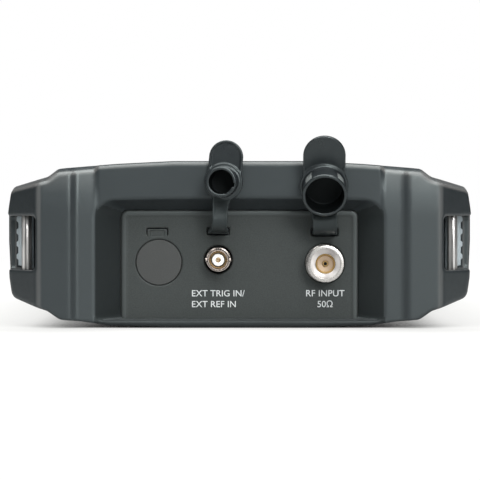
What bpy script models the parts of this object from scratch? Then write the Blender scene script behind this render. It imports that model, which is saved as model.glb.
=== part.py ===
"""Hand-held spectrum analyzer, modelled lying on its back.

Frame: +Z is up out of the screen, -Y is the connector end, +X is to the right
when looking at the connector end. The origin is the centre of the rest pad on
the back. Dimensions below are millimetres; MM turns them into metres.
"""

import math

import bmesh
import bpy
from mathutils import Matrix, Vector

MM = 0.001

# ---- driving dimensions -------------------------------------------------
HALF_LENGTH = 145.0     # half length over the two rubber boots
BOOT_LENGTH = 32.0
BOOT_FACE = 142.0       # boot end faces inside the raised corners
BOOT_OPEN = HALF_LENGTH - BOOT_LENGTH
SHELL_END = 130.0       # outer face of the shells' end walls
PARTING_Z = 44.0        # joint line between rear and front shell
FACE_Z = 67.0           # front face of the front shell
BACK_Z = 1.8            # back face of the rear shell
GAP = 0.3               # clearance between neighbouring pieces

# Outlines: (x, z) of the right half, bottom to top.
BOOT_OUTLINE = [
    (0.0, 0.0), (30.0, 0.0), (55.0, 0.8), (66.0, 2.5), (75.6, 3.4),
    (80.6, 7.2), (95.2, 13.2), (97.3, 23.0), (98.0, 36.0), (98.0, 48.0),
    (96.2, 59.4), (80.4, 64.2), (75.8, 67.7), (70.5, 68.4), (52.0, 70.0),
    (28.0, 71.0), (0.0, 71.4),
]
REAR_OUTER = [
    (0.0, BACK_Z), (50.0, BACK_Z), (65.0, 4.6), (74.6, 5.6),
    (78.6, 9.2), (92.3, 15.0), (94.0, 24.0), (94.0, PARTING_Z - GAP),
]
REAR_INNER = [
    (0.0, 4.8), (49.6, 4.8), (64.4, 7.6), (73.2, 8.5),
    (76.6, 11.9), (89.6, 17.2), (91.0, 24.3), (91.0, 46.0),
]
FRONT_OUTER = [(94.0, PARTING_Z), (94.0, 56.8), (79.2, 61.6), (74.8, 65.7), (70.5, FACE_Z)]
FRONT_INNER = [(91.0, 40.0), (91.0, 54.4), (77.6, 58.8), (73.3, 62.8), (71.3, 63.5)]

# Shell plans: (x, y) of the right half, connector end to far end.
PLAN_OUTER = [
    (84.0, -SHELL_END), (84.0, -127.5), (94.0, -116.0),
    (94.0, 116.0), (84.0, 127.5), (84.0, SHELL_END),
]
PLAN_INNER = [
    (81.0, -127.2), (81.0, -126.4), (91.0, -114.9),
    (91.0, 114.9), (81.0, 126.4), (81.0, 127.2),
]

# Connector end
PLATE_Y = -133.0        # outer face of the connector panel
PLATE_BACK = -130.3
RF_X, RF_Z = 36.2, 26.8         # coaxial input axis
BNC_X, BNC_Z = -9.0, 28.4       # trigger / reference input axis
BLANK_X, BLANK_Z = -34.2, 27.2  # blanked port axis
RF_FOLD = Vector((35.775, -146.644, 42.552))    # where each cap strap folds
BNC_FOLD = Vector((-7.85, -148.899, 44.789))
# Plugs in the panel slots above the ports: centre x, centre z, width, height
RF_PLUG = (RF_X, 39.95, 10.6, 2.7)
BNC_PLUG = (BNC_X, 40.4, 8.6, 2.6)
BLANK_PLUG = (-34.9, 40.25, 8.4, 2.7)
STRAP_HALF_THICKNESS = 0.75

# Strap bars in the boot corners
BAR_X, BAR_Y = 90.6, 130.2
BAR_RADIUS = 2.1

# Front side
LENS_WIDTH, LENS_HEIGHT, LENS_Y = 144.0, 112.0, -52.0
LENS_CORNER = 4.0
KEY_GAP = 0.4
KEY_TOP = 68.6
KNOB_X, KNOB_Y = -43.0, 62.0

# Keys: name, centre x, centre y, width, height, corner radius, corner segments
KEYS = [
    (f"function_key_{i + 1}", 54.0 - 27.0 * i, 21.0, 22.0, 9.0, 2.5, 2)
    for i in range(5)
]
NUMBER_LABELS = ("1", "2", "3", "4", "5", "6", "7", "8", "9", "point", "0", "sign")
for i, label in enumerate(NUMBER_LABELS):
    row, column = divmod(i, 3)
    KEYS.append((f"number_key_{label}", 56.0 - 22.0 * column, 38.0 + 16.5 * row,
                 17.0, 11.0, 3.0, 2))
KEYS.append(("power_key", -58.0, 96.0, 12.0, 12.0, 5.9, 5))

# Case screws: x, y
SCREWS = [(84.0, -64.0), (84.0, 70.0), (-84.0, -88.0), (-84.0, 78.0)]
SCREW_HOLE_RADIUS = 1.9

# Back
STAND_HINGE = (0, -96.0, 3.4)
DOOR_WIDTH, DOOR_HEIGHT, DOOR_Y = 86.2, 92.2, 65.0
DOOR_CORNER = 4.0
DOOR_SCREW = (0, 106.2, 0)
DOOR_SCREW_HOLE_RADIUS = 2.0
BAY_HALF_WIDTH, BAY_Y0, BAY_Y1 = 39.0, 27.0, 101.0
BAY_GAP = 1.0           # between the battery pack and the bay walls

# Side openings: centre y, centre z, width along y, height
EXHAUST = (0.0, 31.0, 36.0, 20.0)
INTAKE = (-56.0, 30.0, 40.0, 20.0)
VENT_CORNER = 2.0
GRILLE_SLOTS = 5
PORT_Y = 24.0
PORT_HINGE = (-93.1, PORT_Y, 15.25)
PORT_DOOR_LENGTH = 68.0
FAN_Z = 31.4


# ---- scene and materials ------------------------------------------------
for old in list(bpy.data.objects):
    bpy.data.objects.remove(old, do_unlink=True)

COLLECTION = bpy.context.scene.collection


def material(name, color, roughness, metallic=0.0):
    mat = bpy.data.materials.new(name)
    mat.use_nodes = True
    inputs = mat.node_tree.nodes["Principled BSDF"].inputs
    inputs["Base Color"].default_value = (*color, 1.0)
    inputs["Roughness"].default_value = roughness
    inputs["Metallic"].default_value = metallic
    return mat


RUBBER = material("boot_rubber", color=(0.070, 0.078, 0.082), roughness=0.55)
SHELL = material("shell_plastic", color=(0.070, 0.076, 0.078), roughness=0.6)
PANEL = material("panel_plastic", color=(0.070, 0.076, 0.075), roughness=0.65)
CAP = material("cap_rubber", color=(0.055, 0.062, 0.068), roughness=0.42)
DISC = material("disc_plastic", color=(0.095, 0.096, 0.096), roughness=0.6)
STEEL = material("polished_steel", color=(0.80, 0.79, 0.76), roughness=0.12, metallic=1.0)
NICKEL = material("nickel", color=(0.83, 0.81, 0.78), roughness=0.18, metallic=1.0)
GOLD = material("gold_contact", color=(0.83, 0.60, 0.26), roughness=0.25, metallic=1.0)
PTFE = material("ptfe", color=(0.88, 0.87, 0.84), roughness=0.5)
GLASS = material("lens_glass", color=(0.02, 0.02, 0.025), roughness=0.05)
LCD = material("lcd_metal", color=(0.45, 0.46, 0.47), roughness=0.35, metallic=0.8)
BOARD = material("circuit_board", color=(0.03, 0.16, 0.08), roughness=0.5)
SHIELD = material("shield_can", color=(0.62, 0.63, 0.64), roughness=0.3, metallic=0.9)
KEY = material("key_rubber", color=(0.16, 0.17, 0.18), roughness=0.6)
FUNCTION_KEY = material("key_function", color=(0.10, 0.16, 0.22), roughness=0.6)
MEMBRANE = material("membrane", color=(0.20, 0.20, 0.20), roughness=0.7)
BATTERY = material("battery_case", color=(0.05, 0.05, 0.055), roughness=0.5)
FAN = material("fan_plastic", color=(0.03, 0.03, 0.03), roughness=0.5)


# ---- solids -------------------------------------------------------------
def from_bmesh(name, bm):
    bmesh.ops.remove_doubles(bm, verts=bm.verts, dist=1e-7)
    bmesh.ops.recalc_face_normals(bm, faces=bm.faces)
    mesh = bpy.data.meshes.new(name)
    bm.to_mesh(mesh)
    bm.free()
    piece = bpy.data.objects.new(name, mesh)
    COLLECTION.objects.link(piece)
    return piece


def loft(name, rings):
    """Rings of the same count of 3-D points (mm), joined in order and capped."""
    bm = bmesh.new()
    rows = [[bm.verts.new(Vector(point) * MM) for point in ring] for ring in rings]
    count = len(rows[0])
    for near, far in zip(rows, rows[1:]):
        for i in range(count):
            j = (i + 1) % count
            bm.faces.new((near[i], near[j], far[j], far[i]))
    bm.faces.new(rows[0][::-1])
    bm.faces.new(rows[-1])
    return from_bmesh(name, bm)


def spin(name, profile, centre, axis="Y", segments=32):
    """Closed (radius, distance along axis) profile turned about an axis through centre."""
    bm = bmesh.new()
    rings = []
    for k in range(segments):
        angle = 2 * math.pi * k / segments
        ring = []
        for radius, along in profile:
            across, up = radius * math.cos(angle), radius * math.sin(angle)
            if axis == "Y":
                point = (across, along, up)
            elif axis == "Z":
                point = (across, up, along)
            else:
                point = (along, across, up)
            ring.append(bm.verts.new((Vector(centre) + Vector(point)) * MM))
        rings.append(ring)
    count = len(profile)
    for k in range(segments):
        near, far = rings[k], rings[(k + 1) % segments]
        for i in range(count):
            j = (i + 1) % count
            if profile[i][0] == 0 and profile[j][0] == 0:
                continue    # an edge along the axis sweeps no face
            bm.faces.new((near[i], near[j], far[j], far[i]))
    bmesh.ops.remove_doubles(bm, verts=bm.verts, dist=1e-7)
    bmesh.ops.dissolve_degenerate(bm, edges=bm.edges, dist=1e-7)
    return from_bmesh(name, bm)


def prism_xz(name, points, y0, y1):
    return loft(name, [[(x, y, z) for x, z in points] for y in (y0, y1)])


def prism_xy(name, points, z0, z1):
    return loft(name, [[(x, y, z) for x, y in points] for z in (z0, z1)])


def prism_yz(name, points, x0, x1):
    return loft(name, [[(x, y, z) for y, z in points] for x in (x0, x1)])


def block(name, x0, x1, y0, y1, z0, z1):
    return prism_xy(name, [(x0, y0), (x1, y0), (x1, y1), (x0, y1)], z0, z1)


def rod(name, axis, centre, radius, start, end, segments=24):
    profile = [(0, start), (radius, start), (radius, end), (0, end)]
    return spin(name, profile, centre, axis, segments)


# ---- outlines -----------------------------------------------------------
def mirrored(half):
    """A right-half outline made whole; points on the centre line stay single."""
    return list(half) + [(-x, other) for x, other in reversed(half) if x > 0]


def rounded_rect(centre_x, centre_y, width, height, radius, segments=3):
    points = []
    for side_x, side_y, start in ((1, 1, 0), (-1, 1, 90), (-1, -1, 180), (1, -1, 270)):
        for k in range(segments + 1):
            angle = math.radians(start + 90.0 * k / segments)
            points.append((
                centre_x + side_x * (width / 2 - radius) + radius * math.cos(angle),
                centre_y + side_y * (height / 2 - radius) + radius * math.sin(angle),
            ))
    return points


def frame_ring(y, half_width, z0, z1, radius):
    """Rounded rectangle in the X-Z plane at y, centred on x = 0."""
    outline = rounded_rect(0, (z0 + z1) / 2, 2 * half_width, z1 - z0, radius, 4)
    return [(x, y, z) for x, z in outline]


def grown(points, distance):
    """A closed anticlockwise polygon moved outwards by distance."""
    result = []
    for i in range(len(points)):
        before, corner = Vector(points[i - 1]), Vector(points[i])
        after = Vector(points[(i + 1) % len(points)])
        edge_in, edge_out = (corner - before).normalized(), (after - corner).normalized()
        normal_in = Vector((edge_in.y, -edge_in.x))
        normal_out = Vector((edge_out.y, -edge_out.x))
        mitre = (normal_in + normal_out).normalized()
        reach = distance / mitre.dot(normal_in)
        result.append((corner.x + mitre.x * reach, corner.y + mitre.y * reach))
    return result


def side_span(side, near, far):
    """The range from near to far on the positive (1) or negative (-1) side, ascending."""
    return sorted((side * near, side * far))


# ---- working on pieces --------------------------------------------------
def finish(piece, mat, sharp_angle=35.0):
    piece.data.materials.append(mat)
    piece.data.shade_smooth()
    piece.data.set_sharp_from_angle(angle=math.radians(sharp_angle))


def boolean(piece, others, operation):
    """Adds one modifier per helper and hides the helpers."""
    for other in others:
        modifier = piece.modifiers.new(f"{operation.lower()}_{other.name}", "BOOLEAN")
        modifier.operation = operation
        modifier.solver = "EXACT"
        modifier.object = other
        other.hide_render = True
        other.display_type = "WIRE"


def cut(piece, *others):
    boolean(piece, others, "DIFFERENCE")


def join(piece, *others):
    boolean(piece, others, "UNION")


def common(piece, *others):
    boolean(piece, others, "INTERSECT")


def pivot(piece, point):
    """Puts the object's origin at point without moving its shape."""
    origin = Vector(point) * MM
    piece.data.transform(Matrix.Translation(-origin))
    piece.location = origin


# ---- shells -------------------------------------------------------------
def make_front_shell():
    # The front outlines run anticlockwise when mirrored; they are lofted clockwise.
    shell = prism_xz("front_shell", mirrored(FRONT_OUTER)[::-1], -SHELL_END, SHELL_END)
    common(shell, prism_xy("h_front_plan", mirrored(PLAN_OUTER), 30, 80))
    cavity = prism_xz("h_front_cavity", mirrored(FRONT_INNER)[::-1], -140, 140)
    common(cavity, prism_xy("h_front_plan_in", mirrored(PLAN_INNER), 30, 80))
    cut(shell, cavity)
    # display
    pocket = rounded_rect(0, LENS_Y, LENS_WIDTH, LENS_HEIGHT, LENS_CORNER)
    cut(shell, prism_xy("h_lens_pocket", pocket, 65.0, 72.0))
    window = rounded_rect(0, LENS_Y, 134.0, 101.0, 1.5, 1)
    cut(shell, prism_xy("h_lcd_window", window, 60.0, 66.0))
    # keys and knob
    for name, x, y, width, height, radius, segments in KEYS:
        hole = rounded_rect(x, y, width + 2 * KEY_GAP, height + 2 * KEY_GAP,
                            radius + KEY_GAP, segments)
        cut(shell, prism_xy(f"h_hole_{name}", hole, 60.0, 72.0))
    cut(shell, rod("h_knob_hole", "Z", (KNOB_X, KNOB_Y, 0), 5.4, 60.0, 72.0))
    # hollow screw posts
    post_radius, post_top = 4.2, 58.4
    profile = [
        (SCREW_HOLE_RADIUS, PARTING_Z), (post_radius, PARTING_Z),
        (post_radius, post_top), (SCREW_HOLE_RADIUS, post_top),
    ]
    for i, (x, y) in enumerate(SCREWS):
        join(shell, spin(f"h_front_post_{i}", profile, (x, y, 0), "Z", 12))
    finish(shell, SHELL)


def cut_stand_seat(shell):
    """Stand pocket, its trunnion bore and the finger scoop."""
    pocket = rounded_rect(0, -60.6, 74.8, 76.8, 3.0, 2)
    cut(shell, prism_xy("h_stand_pocket", pocket, -2.0, 5.2))
    cut(shell, rod("h_stand_bore", "X", STAND_HINGE, 1.6, -40.0, 40.0, 16))
    scoop = rounded_rect(0, -22.0, 24.0, 9.0, 4.0, 3)
    cut(shell, prism_xy("h_stand_scoop", scoop, -2.0, 4.4))


def cut_battery_bay(shell):
    recess = rounded_rect(0, DOOR_Y, DOOR_WIDTH + 2 * GAP, DOOR_HEIGHT + 2 * GAP,
                          DOOR_CORNER + GAP, 3)
    cut(shell, prism_xy("h_door_recess", recess, -2.0, 4.5))
    cut(shell, block("h_bay", -BAY_HALF_WIDTH, BAY_HALF_WIDTH, BAY_Y0, BAY_Y1, -2, 12))
    cut(shell, rod("h_screw_bore", "Z", DOOR_SCREW, DOOR_SCREW_HOLE_RADIUS, -2, 12, 16))


def cut_side_windows(shell):
    """Fan outlet on +X, air inlet and port bay on -X."""
    exhaust = rounded_rect(*EXHAUST, VENT_CORNER, 2)
    cut(shell, prism_yz("h_exhaust_window", exhaust, 86, 100))
    intake = rounded_rect(*INTAKE, VENT_CORNER, 2)
    cut(shell, prism_yz("h_intake_window", intake, -100, -86))
    port = rounded_rect(PORT_Y, 28.6, 62.0, 18.4, 1.5, 1)
    cut(shell, prism_yz("h_port_window", port, -100, -86))
    recess = rounded_rect(PORT_Y, 26.9, 69.0, 25.6, 1.6, 2)
    cut(shell, prism_yz("h_port_recess", recess, -100, -91.9))


def add_rear_posts(shell):
    """Screw posts, each with a wide bore for the screw head below a narrow one."""
    head_radius, head_seat = 3.6, 17.4
    bore = [
        (0, 0), (head_radius, 0), (head_radius, head_seat),
        (SCREW_HOLE_RADIUS, head_seat), (SCREW_HOLE_RADIUS, 60), (0, 60),
    ]
    for i, (x, y) in enumerate(SCREWS):
        join(shell, rod(f"h_rear_post_{i}", "Z", (x, y, 0), 4.6, 14.5, 43.6, 14))
        cut(shell, spin(f"h_rear_bore_{i}", bore, (x, y, 0), "Z", 12))


def make_rear_shell():
    shell = prism_xz("rear_shell", mirrored(REAR_OUTER), -SHELL_END, SHELL_END)
    common(shell, prism_xy("h_rear_plan", mirrored(PLAN_OUTER), -10, 60))
    cavity = prism_xz("h_rear_cavity", mirrored(REAR_INNER), -140, 140)
    common(cavity, prism_xy("h_rear_plan_in", mirrored(PLAN_INNER), -10, 60))
    cut(shell, cavity)
    join(shell, block("h_stand_boss", -41, 41, -104, -19, 2.6, 8.2))
    join(shell, block("h_battery_boss", -47, 47, 15, 112.5, 2.6, 7.8))
    join(shell, prism_xy("h_rest_pad", rounded_rect(0, 0, 32, 16, 2.0, 2), 0.0, 3.0))
    # connector window in the end wall
    cut(shell, block("h_end_window", -48.5, 48.5, -136, -124, 9.0, 50.0))
    cut_stand_seat(shell)
    cut_battery_bay(shell)
    cut_side_windows(shell)
    add_rear_posts(shell)
    finish(shell, SHELL)


# ---- rubber boots -------------------------------------------------------
# Boot plan: (x, distance from the middle), raised corner, then chamfered side.
BOOT_PLAN = [
    (60.0, BOOT_FACE), (68.7, 142.5), (71.2, HALF_LENGTH), (85.0, HALF_LENGTH),
    (97.2, 126.4), (99.5, 122.0), (99.5, BOOT_OPEN),
]
# Strap pocket and rib plans: (x, y) of the +X, +Y corner.
POCKET_PLAN = [(85.8, 150.0), (85.8, 129.6), (96.2, 117.6), (105.0, 117.6), (105.0, 150.0)]
RIB_PLAN = [(91.4, 124.2), (90.2, 122.6), (95.6, 116.8), (96.6, 118.4)]
RIB_LEVELS = (28.2, 33.6, 39.0, 44.2)
RIB_HALF_HEIGHT = 0.9

# Recess rings: y, half width, bottom z, top z, corner radius
CONNECTOR_RECESS = [
    (-150.0, 67.6, 1.2, 56.1, 8.0),
    (-BOOT_FACE, 59.9, 3.6, 53.0, 6.6),
    (-132.7, 50.4, 6.3, 48.9, 2.6),
    (-128.0, 50.4, 6.3, 48.9, 2.6),
]
FAR_RECESS = [
    (150.0, 61.0, 6.0, 57.0, 7.0),
    (BOOT_FACE, 58.0, 8.0, 54.0, 6.0),
    (139.6, 55.6, 10.4, 51.6, 4.0),
]


def cut_strap_pocket(boot, side, end):
    """Corner pocket with ribs across its sloping back and a bore for the strap bar."""
    name = boot.name
    side_name = "r" if side > 0 else "l"

    def placed(plan):
        return [(side * x, end * y) for x, y in plan]

    cut(boot, prism_xy(f"h_{name}_pocket_{side_name}", placed(POCKET_PLAN), 24.0, 47.0))
    for k, z in enumerate(RIB_LEVELS):
        join(boot, prism_xy(f"h_{name}_rib_{side_name}_{k}", placed(RIB_PLAN),
                            z - RIB_HALF_HEIGHT, z + RIB_HALF_HEIGHT))
    bar_centre = (side * BAR_X, end * BAR_Y, 0)
    cut(boot, rod(f"h_{name}_bar_{side_name}", "Z", bar_centre,
                  BAR_RADIUS + GAP, 20.2, 50.8, 16))


def make_boot(name, end):
    """Boot at the connector end (end = -1) or the far end (end = 1)."""
    boot = prism_xz(name, mirrored(BOOT_OUTLINE), *side_span(end, BOOT_OPEN, HALF_LENGTH))
    plan = mirrored([(x, end * y) for x, y in BOOT_PLAN])
    common(boot, prism_xy(f"h_{name}_plan", plan, -10, 90))
    # room for both closed shells, with clearance
    shells = mirrored(REAR_OUTER[:-1] + FRONT_OUTER[1:] + [(0.0, FACE_Z)])
    inside = prism_xz(f"h_{name}_in", grown(shells, GAP), -SHELL_END - GAP, SHELL_END + GAP)
    inside_plan = grown(mirrored(PLAN_OUTER), GAP)
    common(inside, prism_xy(f"h_{name}_in_plan", inside_plan, -20, 90))
    cut(boot, inside)
    for side in (1, -1):
        cut_strap_pocket(boot, side, end)
    return boot


def make_top_boot():
    boot = make_boot("top_boot", -1)
    # four-sided recess that narrows down to the connector panel
    cut(boot, loft("h_recess", [frame_ring(*ring) for ring in CONNECTOR_RECESS]))
    cut(boot, block("h_panel_seat", -54.4, 54.4, PLATE_Y - GAP, -128.0, 4.6, 51.4))
    finish(boot, RUBBER, 25.0)


def make_bottom_boot():
    boot = make_boot("bottom_boot", 1)
    # shallow moulded panel in the centre of the far end
    cut(boot, loft("h_far_panel", [frame_ring(*ring) for ring in FAR_RECESS]))
    finish(boot, RUBBER, 25.0)


def make_strap_bars():
    for end_name, end in (("top", -1), ("bottom", 1)):
        for side_name, side in (("right", 1), ("left", -1)):
            bar = rod(f"strap_bar_{end_name}_{side_name}", "Z",
                      (side * BAR_X, end * BAR_Y, 0), BAR_RADIUS, 20.6, 50.4, 16)
            finish(bar, STEEL)


# ---- connector end ------------------------------------------------------
# Profiles are (radius, y).
RF_BODY = [
    (4.2, -BOOT_FACE), (6.1, -BOOT_FACE), (7.0, -141.6), (7.94, -140.8),
    (7.94, -130.1), (10.6, -130.1), (10.6, -127.6), (7.4, -127.6),
    (7.4, -117.8), (1.9, -117.8), (1.9, -128.0), (4.2, -128.0),
]
RF_INSULATOR = [(1.0, -135.6), (3.9, -135.6), (3.9, -128.3), (1.0, -128.3)]
RF_CONTACT = [
    (0.45, -139.6), (1.55, -139.6), (1.55, -135.9), (0.7, -135.9),
    (0.7, -117.9), (0.0, -117.9), (0.0, -137.0), (0.45, -137.0),
]
BNC_BODY = [
    (4.05, -BOOT_FACE), (4.6, -BOOT_FACE), (4.85, -141.7), (4.85, -130.1),
    (8.6, -130.1), (8.6, -128.1), (5.0, -128.1), (5.0, -117.8),
    (1.5, -117.8), (1.5, -129.0), (4.05, -129.0),
]
BNC_INSULATOR = [
    (1.3, -140.6), (2.5, -140.6), (2.5, -133.0),
    (3.75, -133.0), (3.75, -129.3), (1.3, -129.3),
]
BNC_CONTACT = [
    (0.68, -140.4), (1.03, -140.4), (1.03, -129.3), (0.6, -129.3),
    (0.6, -117.9), (0.0, -117.9), (0.0, -137.0), (0.68, -137.0),
]
BLANK_DISC = [
    (0, -133.15), (9.2, -133.15), (9.55, -132.9), (9.55, -130.0),
    (10.6, -130.0), (10.6, -128.6), (0, -128.6),
]


def plug_block(name, plug, margin_x, y0, y1, margin_below, margin_above):
    """Block around a panel plug, wider and taller than it by the margins."""
    x, z, width, height = plug
    return block(name, x - width / 2 - margin_x, x + width / 2 + margin_x, y0, y1,
                 z - height / 2 - margin_below, z + height / 2 + margin_above)


def make_connector_panel():
    panel = block("connector_panel", -54.0, 54.0, PLATE_Y, PLATE_BACK, 5.0, 51.0)
    # name, axis x, axis z, radius, segments
    for name, x, z, radius, segments in (
        ("rf", RF_X, RF_Z, 8.3, 28),
        ("bnc", BNC_X, BNC_Z, 6.1, 24),
        ("blank", BLANK_X, BLANK_Z, 9.85, 28),
    ):
        cut(panel, rod(f"h_{name}_hole", "Y", (x, 0, z), radius, -140, -125, segments))
    for name, plug in (("rf", RF_PLUG), ("bnc", BNC_PLUG), ("blank", BLANK_PLUG)):
        cut(panel, plug_block(f"h_{name}_slot", plug, GAP, -140, -125, GAP, GAP))
    finish(panel, PANEL)


def make_rf_connector():
    for name, profile, segments, mat in (
        ("body", RF_BODY, 28, NICKEL),
        ("insulator", RF_INSULATOR, 20, GOLD),
        ("contact", RF_CONTACT, 14, GOLD),
    ):
        finish(spin(f"n_connector_{name}", profile, (RF_X, 0, RF_Z), "Y", segments), mat)


def make_bnc_connector():
    axis_point = (BNC_X, 0, BNC_Z)
    body = spin("bnc_connector_body", BNC_BODY, axis_point, "Y", 24)
    for side in (1, -1):
        join(body, rod(f"h_bnc_lug_{side}", "X", (BNC_X, -138.6, BNC_Z), 0.95,
                       *side_span(side, 4.4, 5.5), 12))
    finish(body, NICKEL)
    finish(spin("bnc_connector_insulator", BNC_INSULATOR, axis_point, "Y", 18), PTFE)
    finish(spin("bnc_connector_contact", BNC_CONTACT, axis_point, "Y", 12), GOLD)


def make_blanks():
    disc = spin("port_blanking_disc", BLANK_DISC, (BLANK_X, 0, BLANK_Z), "Y", 28)
    finish(disc, DISC)
    plug = plug_block("tether_blanking_plug", BLANK_PLUG, 0, -132.9, -129.9, 0, 0)
    join(plug, plug_block("h_plug_flange", BLANK_PLUG, 1.5, -130.0, -128.8, 0.7, 1.0))
    finish(plug, PANEL)


def strap(name, start, end, direction, x, half_width):
    """Flat strip between two (y, z) points, its faces along direction."""
    normal = Vector((-direction.y, direction.x)) * STRAP_HALF_THICKNESS
    corners = [start + normal, end + normal, end - normal, start - normal]
    return prism_yz(name, corners, x - half_width, x + half_width)


def make_tether(name, plug, fold, strap_inset):
    """Fixed half of a cap strap: a plug in the panel and the strap out to the fold."""
    x, z, width, _ = plug
    tether = plug_block(name, plug, 0, -133.4, -129.9, 0, 0)
    join(tether, plug_block(f"h_{name}_barb", plug, 1.3, -130.0, -128.6, 0.7, 0.9))
    tip = Vector((fold.y, fold.z))
    direction = Vector((fold.y + 133.2, fold.z - z)).normalized()
    # the strap stops short of the fold
    join(tether, strap(f"h_{name}_strap", Vector((PLATE_Y, z)), tip - direction * 1.2,
                       direction, x, width / 2 - strap_inset))
    finish(tether, CAP)


def make_cap(name, centre, fold, tilt, roll, yaw, disc_radius, disc_thickness,
             outer_radius, inner_radius, depth, tab_width, tab_height, strap_width,
             notched):
    """Rubber cap, built facing -Y with its tab up, then turned into its open pose."""
    turn = (Matrix.Rotation(yaw, 4, "Z") @ Matrix.Rotation(roll, 4, "Y")
            @ Matrix.Rotation(tilt, 4, "X"))
    place = Matrix.Translation(Vector(centre) * MM) @ turn
    cap = spin(name, [
        (0, 0.0), (inner_radius, 0.0), (inner_radius, -depth), (outer_radius, -depth),
        (outer_radius, 0.0), (disc_radius, 0.0), (disc_radius, disc_thickness),
        (0, disc_thickness),
    ], (0, 0, 0), "Y", 28)
    # tab with a round top
    tab_radius = tab_width / 2
    arc_z = tab_height - tab_radius
    outline = [(-tab_radius, -2.0), (tab_radius, -2.0), (tab_radius, arc_z)]
    for k in range(1, 10):
        angle = math.pi * k / 10
        outline.append((tab_radius * math.cos(angle), arc_z + tab_radius * math.sin(angle)))
    outline.append((-tab_radius, arc_z))
    tab = prism_xz(f"h_{name}_tab", outline, 0.15, disc_thickness - 0.1)
    # strap half, in the cap's own frame, from the disc's lower edge to past the fold
    local_fold = place.inverted() @ (Vector(fold) * MM) / MM
    start = Vector((disc_thickness * 0.5, -disc_radius + 1.6))
    end = Vector((local_fold.y, local_fold.z))
    direction = (end - start).normalized()
    strip = strap(f"h_{name}_strap", start, end + direction * 0.4, direction,
                  0, strap_width / 2)
    notches = []
    if notched:
        for side in (1, -1):
            span = side_span(side, inner_radius - 0.6, inner_radius + 0.75)
            notches.append(block(f"h_{name}_notch_{side}", *span,
                                 -depth - 1, -depth + 9.2, -1.2, 1.2))
    for part in (cap, tab, strip, *notches):
        part.data.transform(place)
    join(cap, tab, strip)
    cut(cap, *notches)
    pivot(cap, fold)
    finish(cap, CAP)


def make_caps():
    make_cap(
        "rf_cap", centre=(RF_X - 0.85, -147.5, 59.3), fold=RF_FOLD,
        tilt=math.radians(23.0), roll=0.0, yaw=0.0,
        disc_radius=10.2, disc_thickness=1.8, outer_radius=8.95, inner_radius=8.05,
        depth=10.0, tab_width=17.7, tab_height=22.4, strap_width=10.2, notched=False,
    )
    make_cap(
        "bnc_cap", centre=(-6.7, -145.5, 61.2), fold=BNC_FOLD,
        tilt=0.0, roll=math.radians(5.6), yaw=math.radians(-6.1),
        disc_radius=8.1, disc_thickness=1.6, outer_radius=6.0, inner_radius=5.05,
        depth=10.0, tab_width=14.4, tab_height=17.6, strap_width=6.8, notched=True,
    )


# ---- front side ---------------------------------------------------------
# Key section: extra width over the key top's outline, z
KEY_BASE = 61.4
KEY_SECTION = [
    (2.0, KEY_BASE), (2.0, 63.0), (0.0, 63.0), (0.0, KEY_TOP - 0.6), (-1.0, KEY_TOP),
]
KNOB_BASE = 67.4
# Knob profile: radius, z
KNOB_PROFILE = [
    (0, 60.0), (3.0, 60.0), (3.0, KNOB_BASE), (17.2, KNOB_BASE), (18.0, 68.2),
    (17.4, 72.2), (16.4, 73.0), (12.5, 73.0), (11.2, 72.3), (0, 72.0),
]


def make_display():
    lens = rounded_rect(0, LENS_Y, LENS_WIDTH - 2 * GAP, LENS_HEIGHT - 2 * GAP,
                        LENS_CORNER - GAP, 4)
    finish(prism_xy("display_lens", lens, 65.3, 66.7), GLASS)
    finish(block("lcd_module", -70, 70, -105, 1, 57.5, 63.1), LCD)


def make_keys():
    for name, x, y, width, height, radius, segments in KEYS:
        rings = []
        for extra, z in KEY_SECTION:
            outline = rounded_rect(x, y, width + extra, height + extra,
                                   radius + extra / 2, segments)
            rings.append([(px, py, z) for px, py in outline])
        key = loft(name, rings)
        pivot(key, (x, y, KEY_BASE))
        finish(key, FUNCTION_KEY if name.startswith("function") else KEY)


def make_membrane():
    membrane = prism_xy("keypad_membrane", rounded_rect(0, 59.5, 138, 95, 2.0, 2), 57.0, 60.0)
    cut(membrane, block("h_encoder_gap", KNOB_X - 7, KNOB_X + 7, KNOB_Y - 7, KNOB_Y + 7, 50, 70))
    finish(membrane, MEMBRANE)


def make_knob():
    centre = (KNOB_X, KNOB_Y, 0)
    encoder = block("rotary_encoder", KNOB_X - 6, KNOB_X + 6, KNOB_Y - 6, KNOB_Y + 6, 57.0, 61.6)
    join(encoder, rod("h_bushing", "Z", centre, 4.6, 61.0, 66.4, 16))
    cut(encoder, rod("h_bushing_bore", "Z", centre, 3.3, 59.5, 70.0, 16))
    finish(encoder, STEEL)
    knob = spin("control_knob", KNOB_PROFILE, centre, "Z", 32)
    pivot(knob, (KNOB_X, KNOB_Y, KNOB_BASE))
    finish(knob, KEY)


# ---- inside -------------------------------------------------------------
def make_inside():
    finish(block("main_board", -76, 76, -108, 108, 55.0, 56.7), BOARD)
    finish(block("rf_module", -58, 58, -117.5, -25, 12, 42), SHIELD)
    pack_y, pack_base = (BAY_Y0 + BAY_Y1) / 2, 5.4
    outline = rounded_rect(0, pack_y, 2 * (BAY_HALF_WIDTH - BAY_GAP),
                           BAY_Y1 - BAY_Y0 - 2 * BAY_GAP, 2.5, 2)
    pack = prism_xy("battery_pack", outline, pack_base, 30.0)
    pivot(pack, (0, pack_y, pack_base))
    finish(pack, BATTERY)


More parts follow.
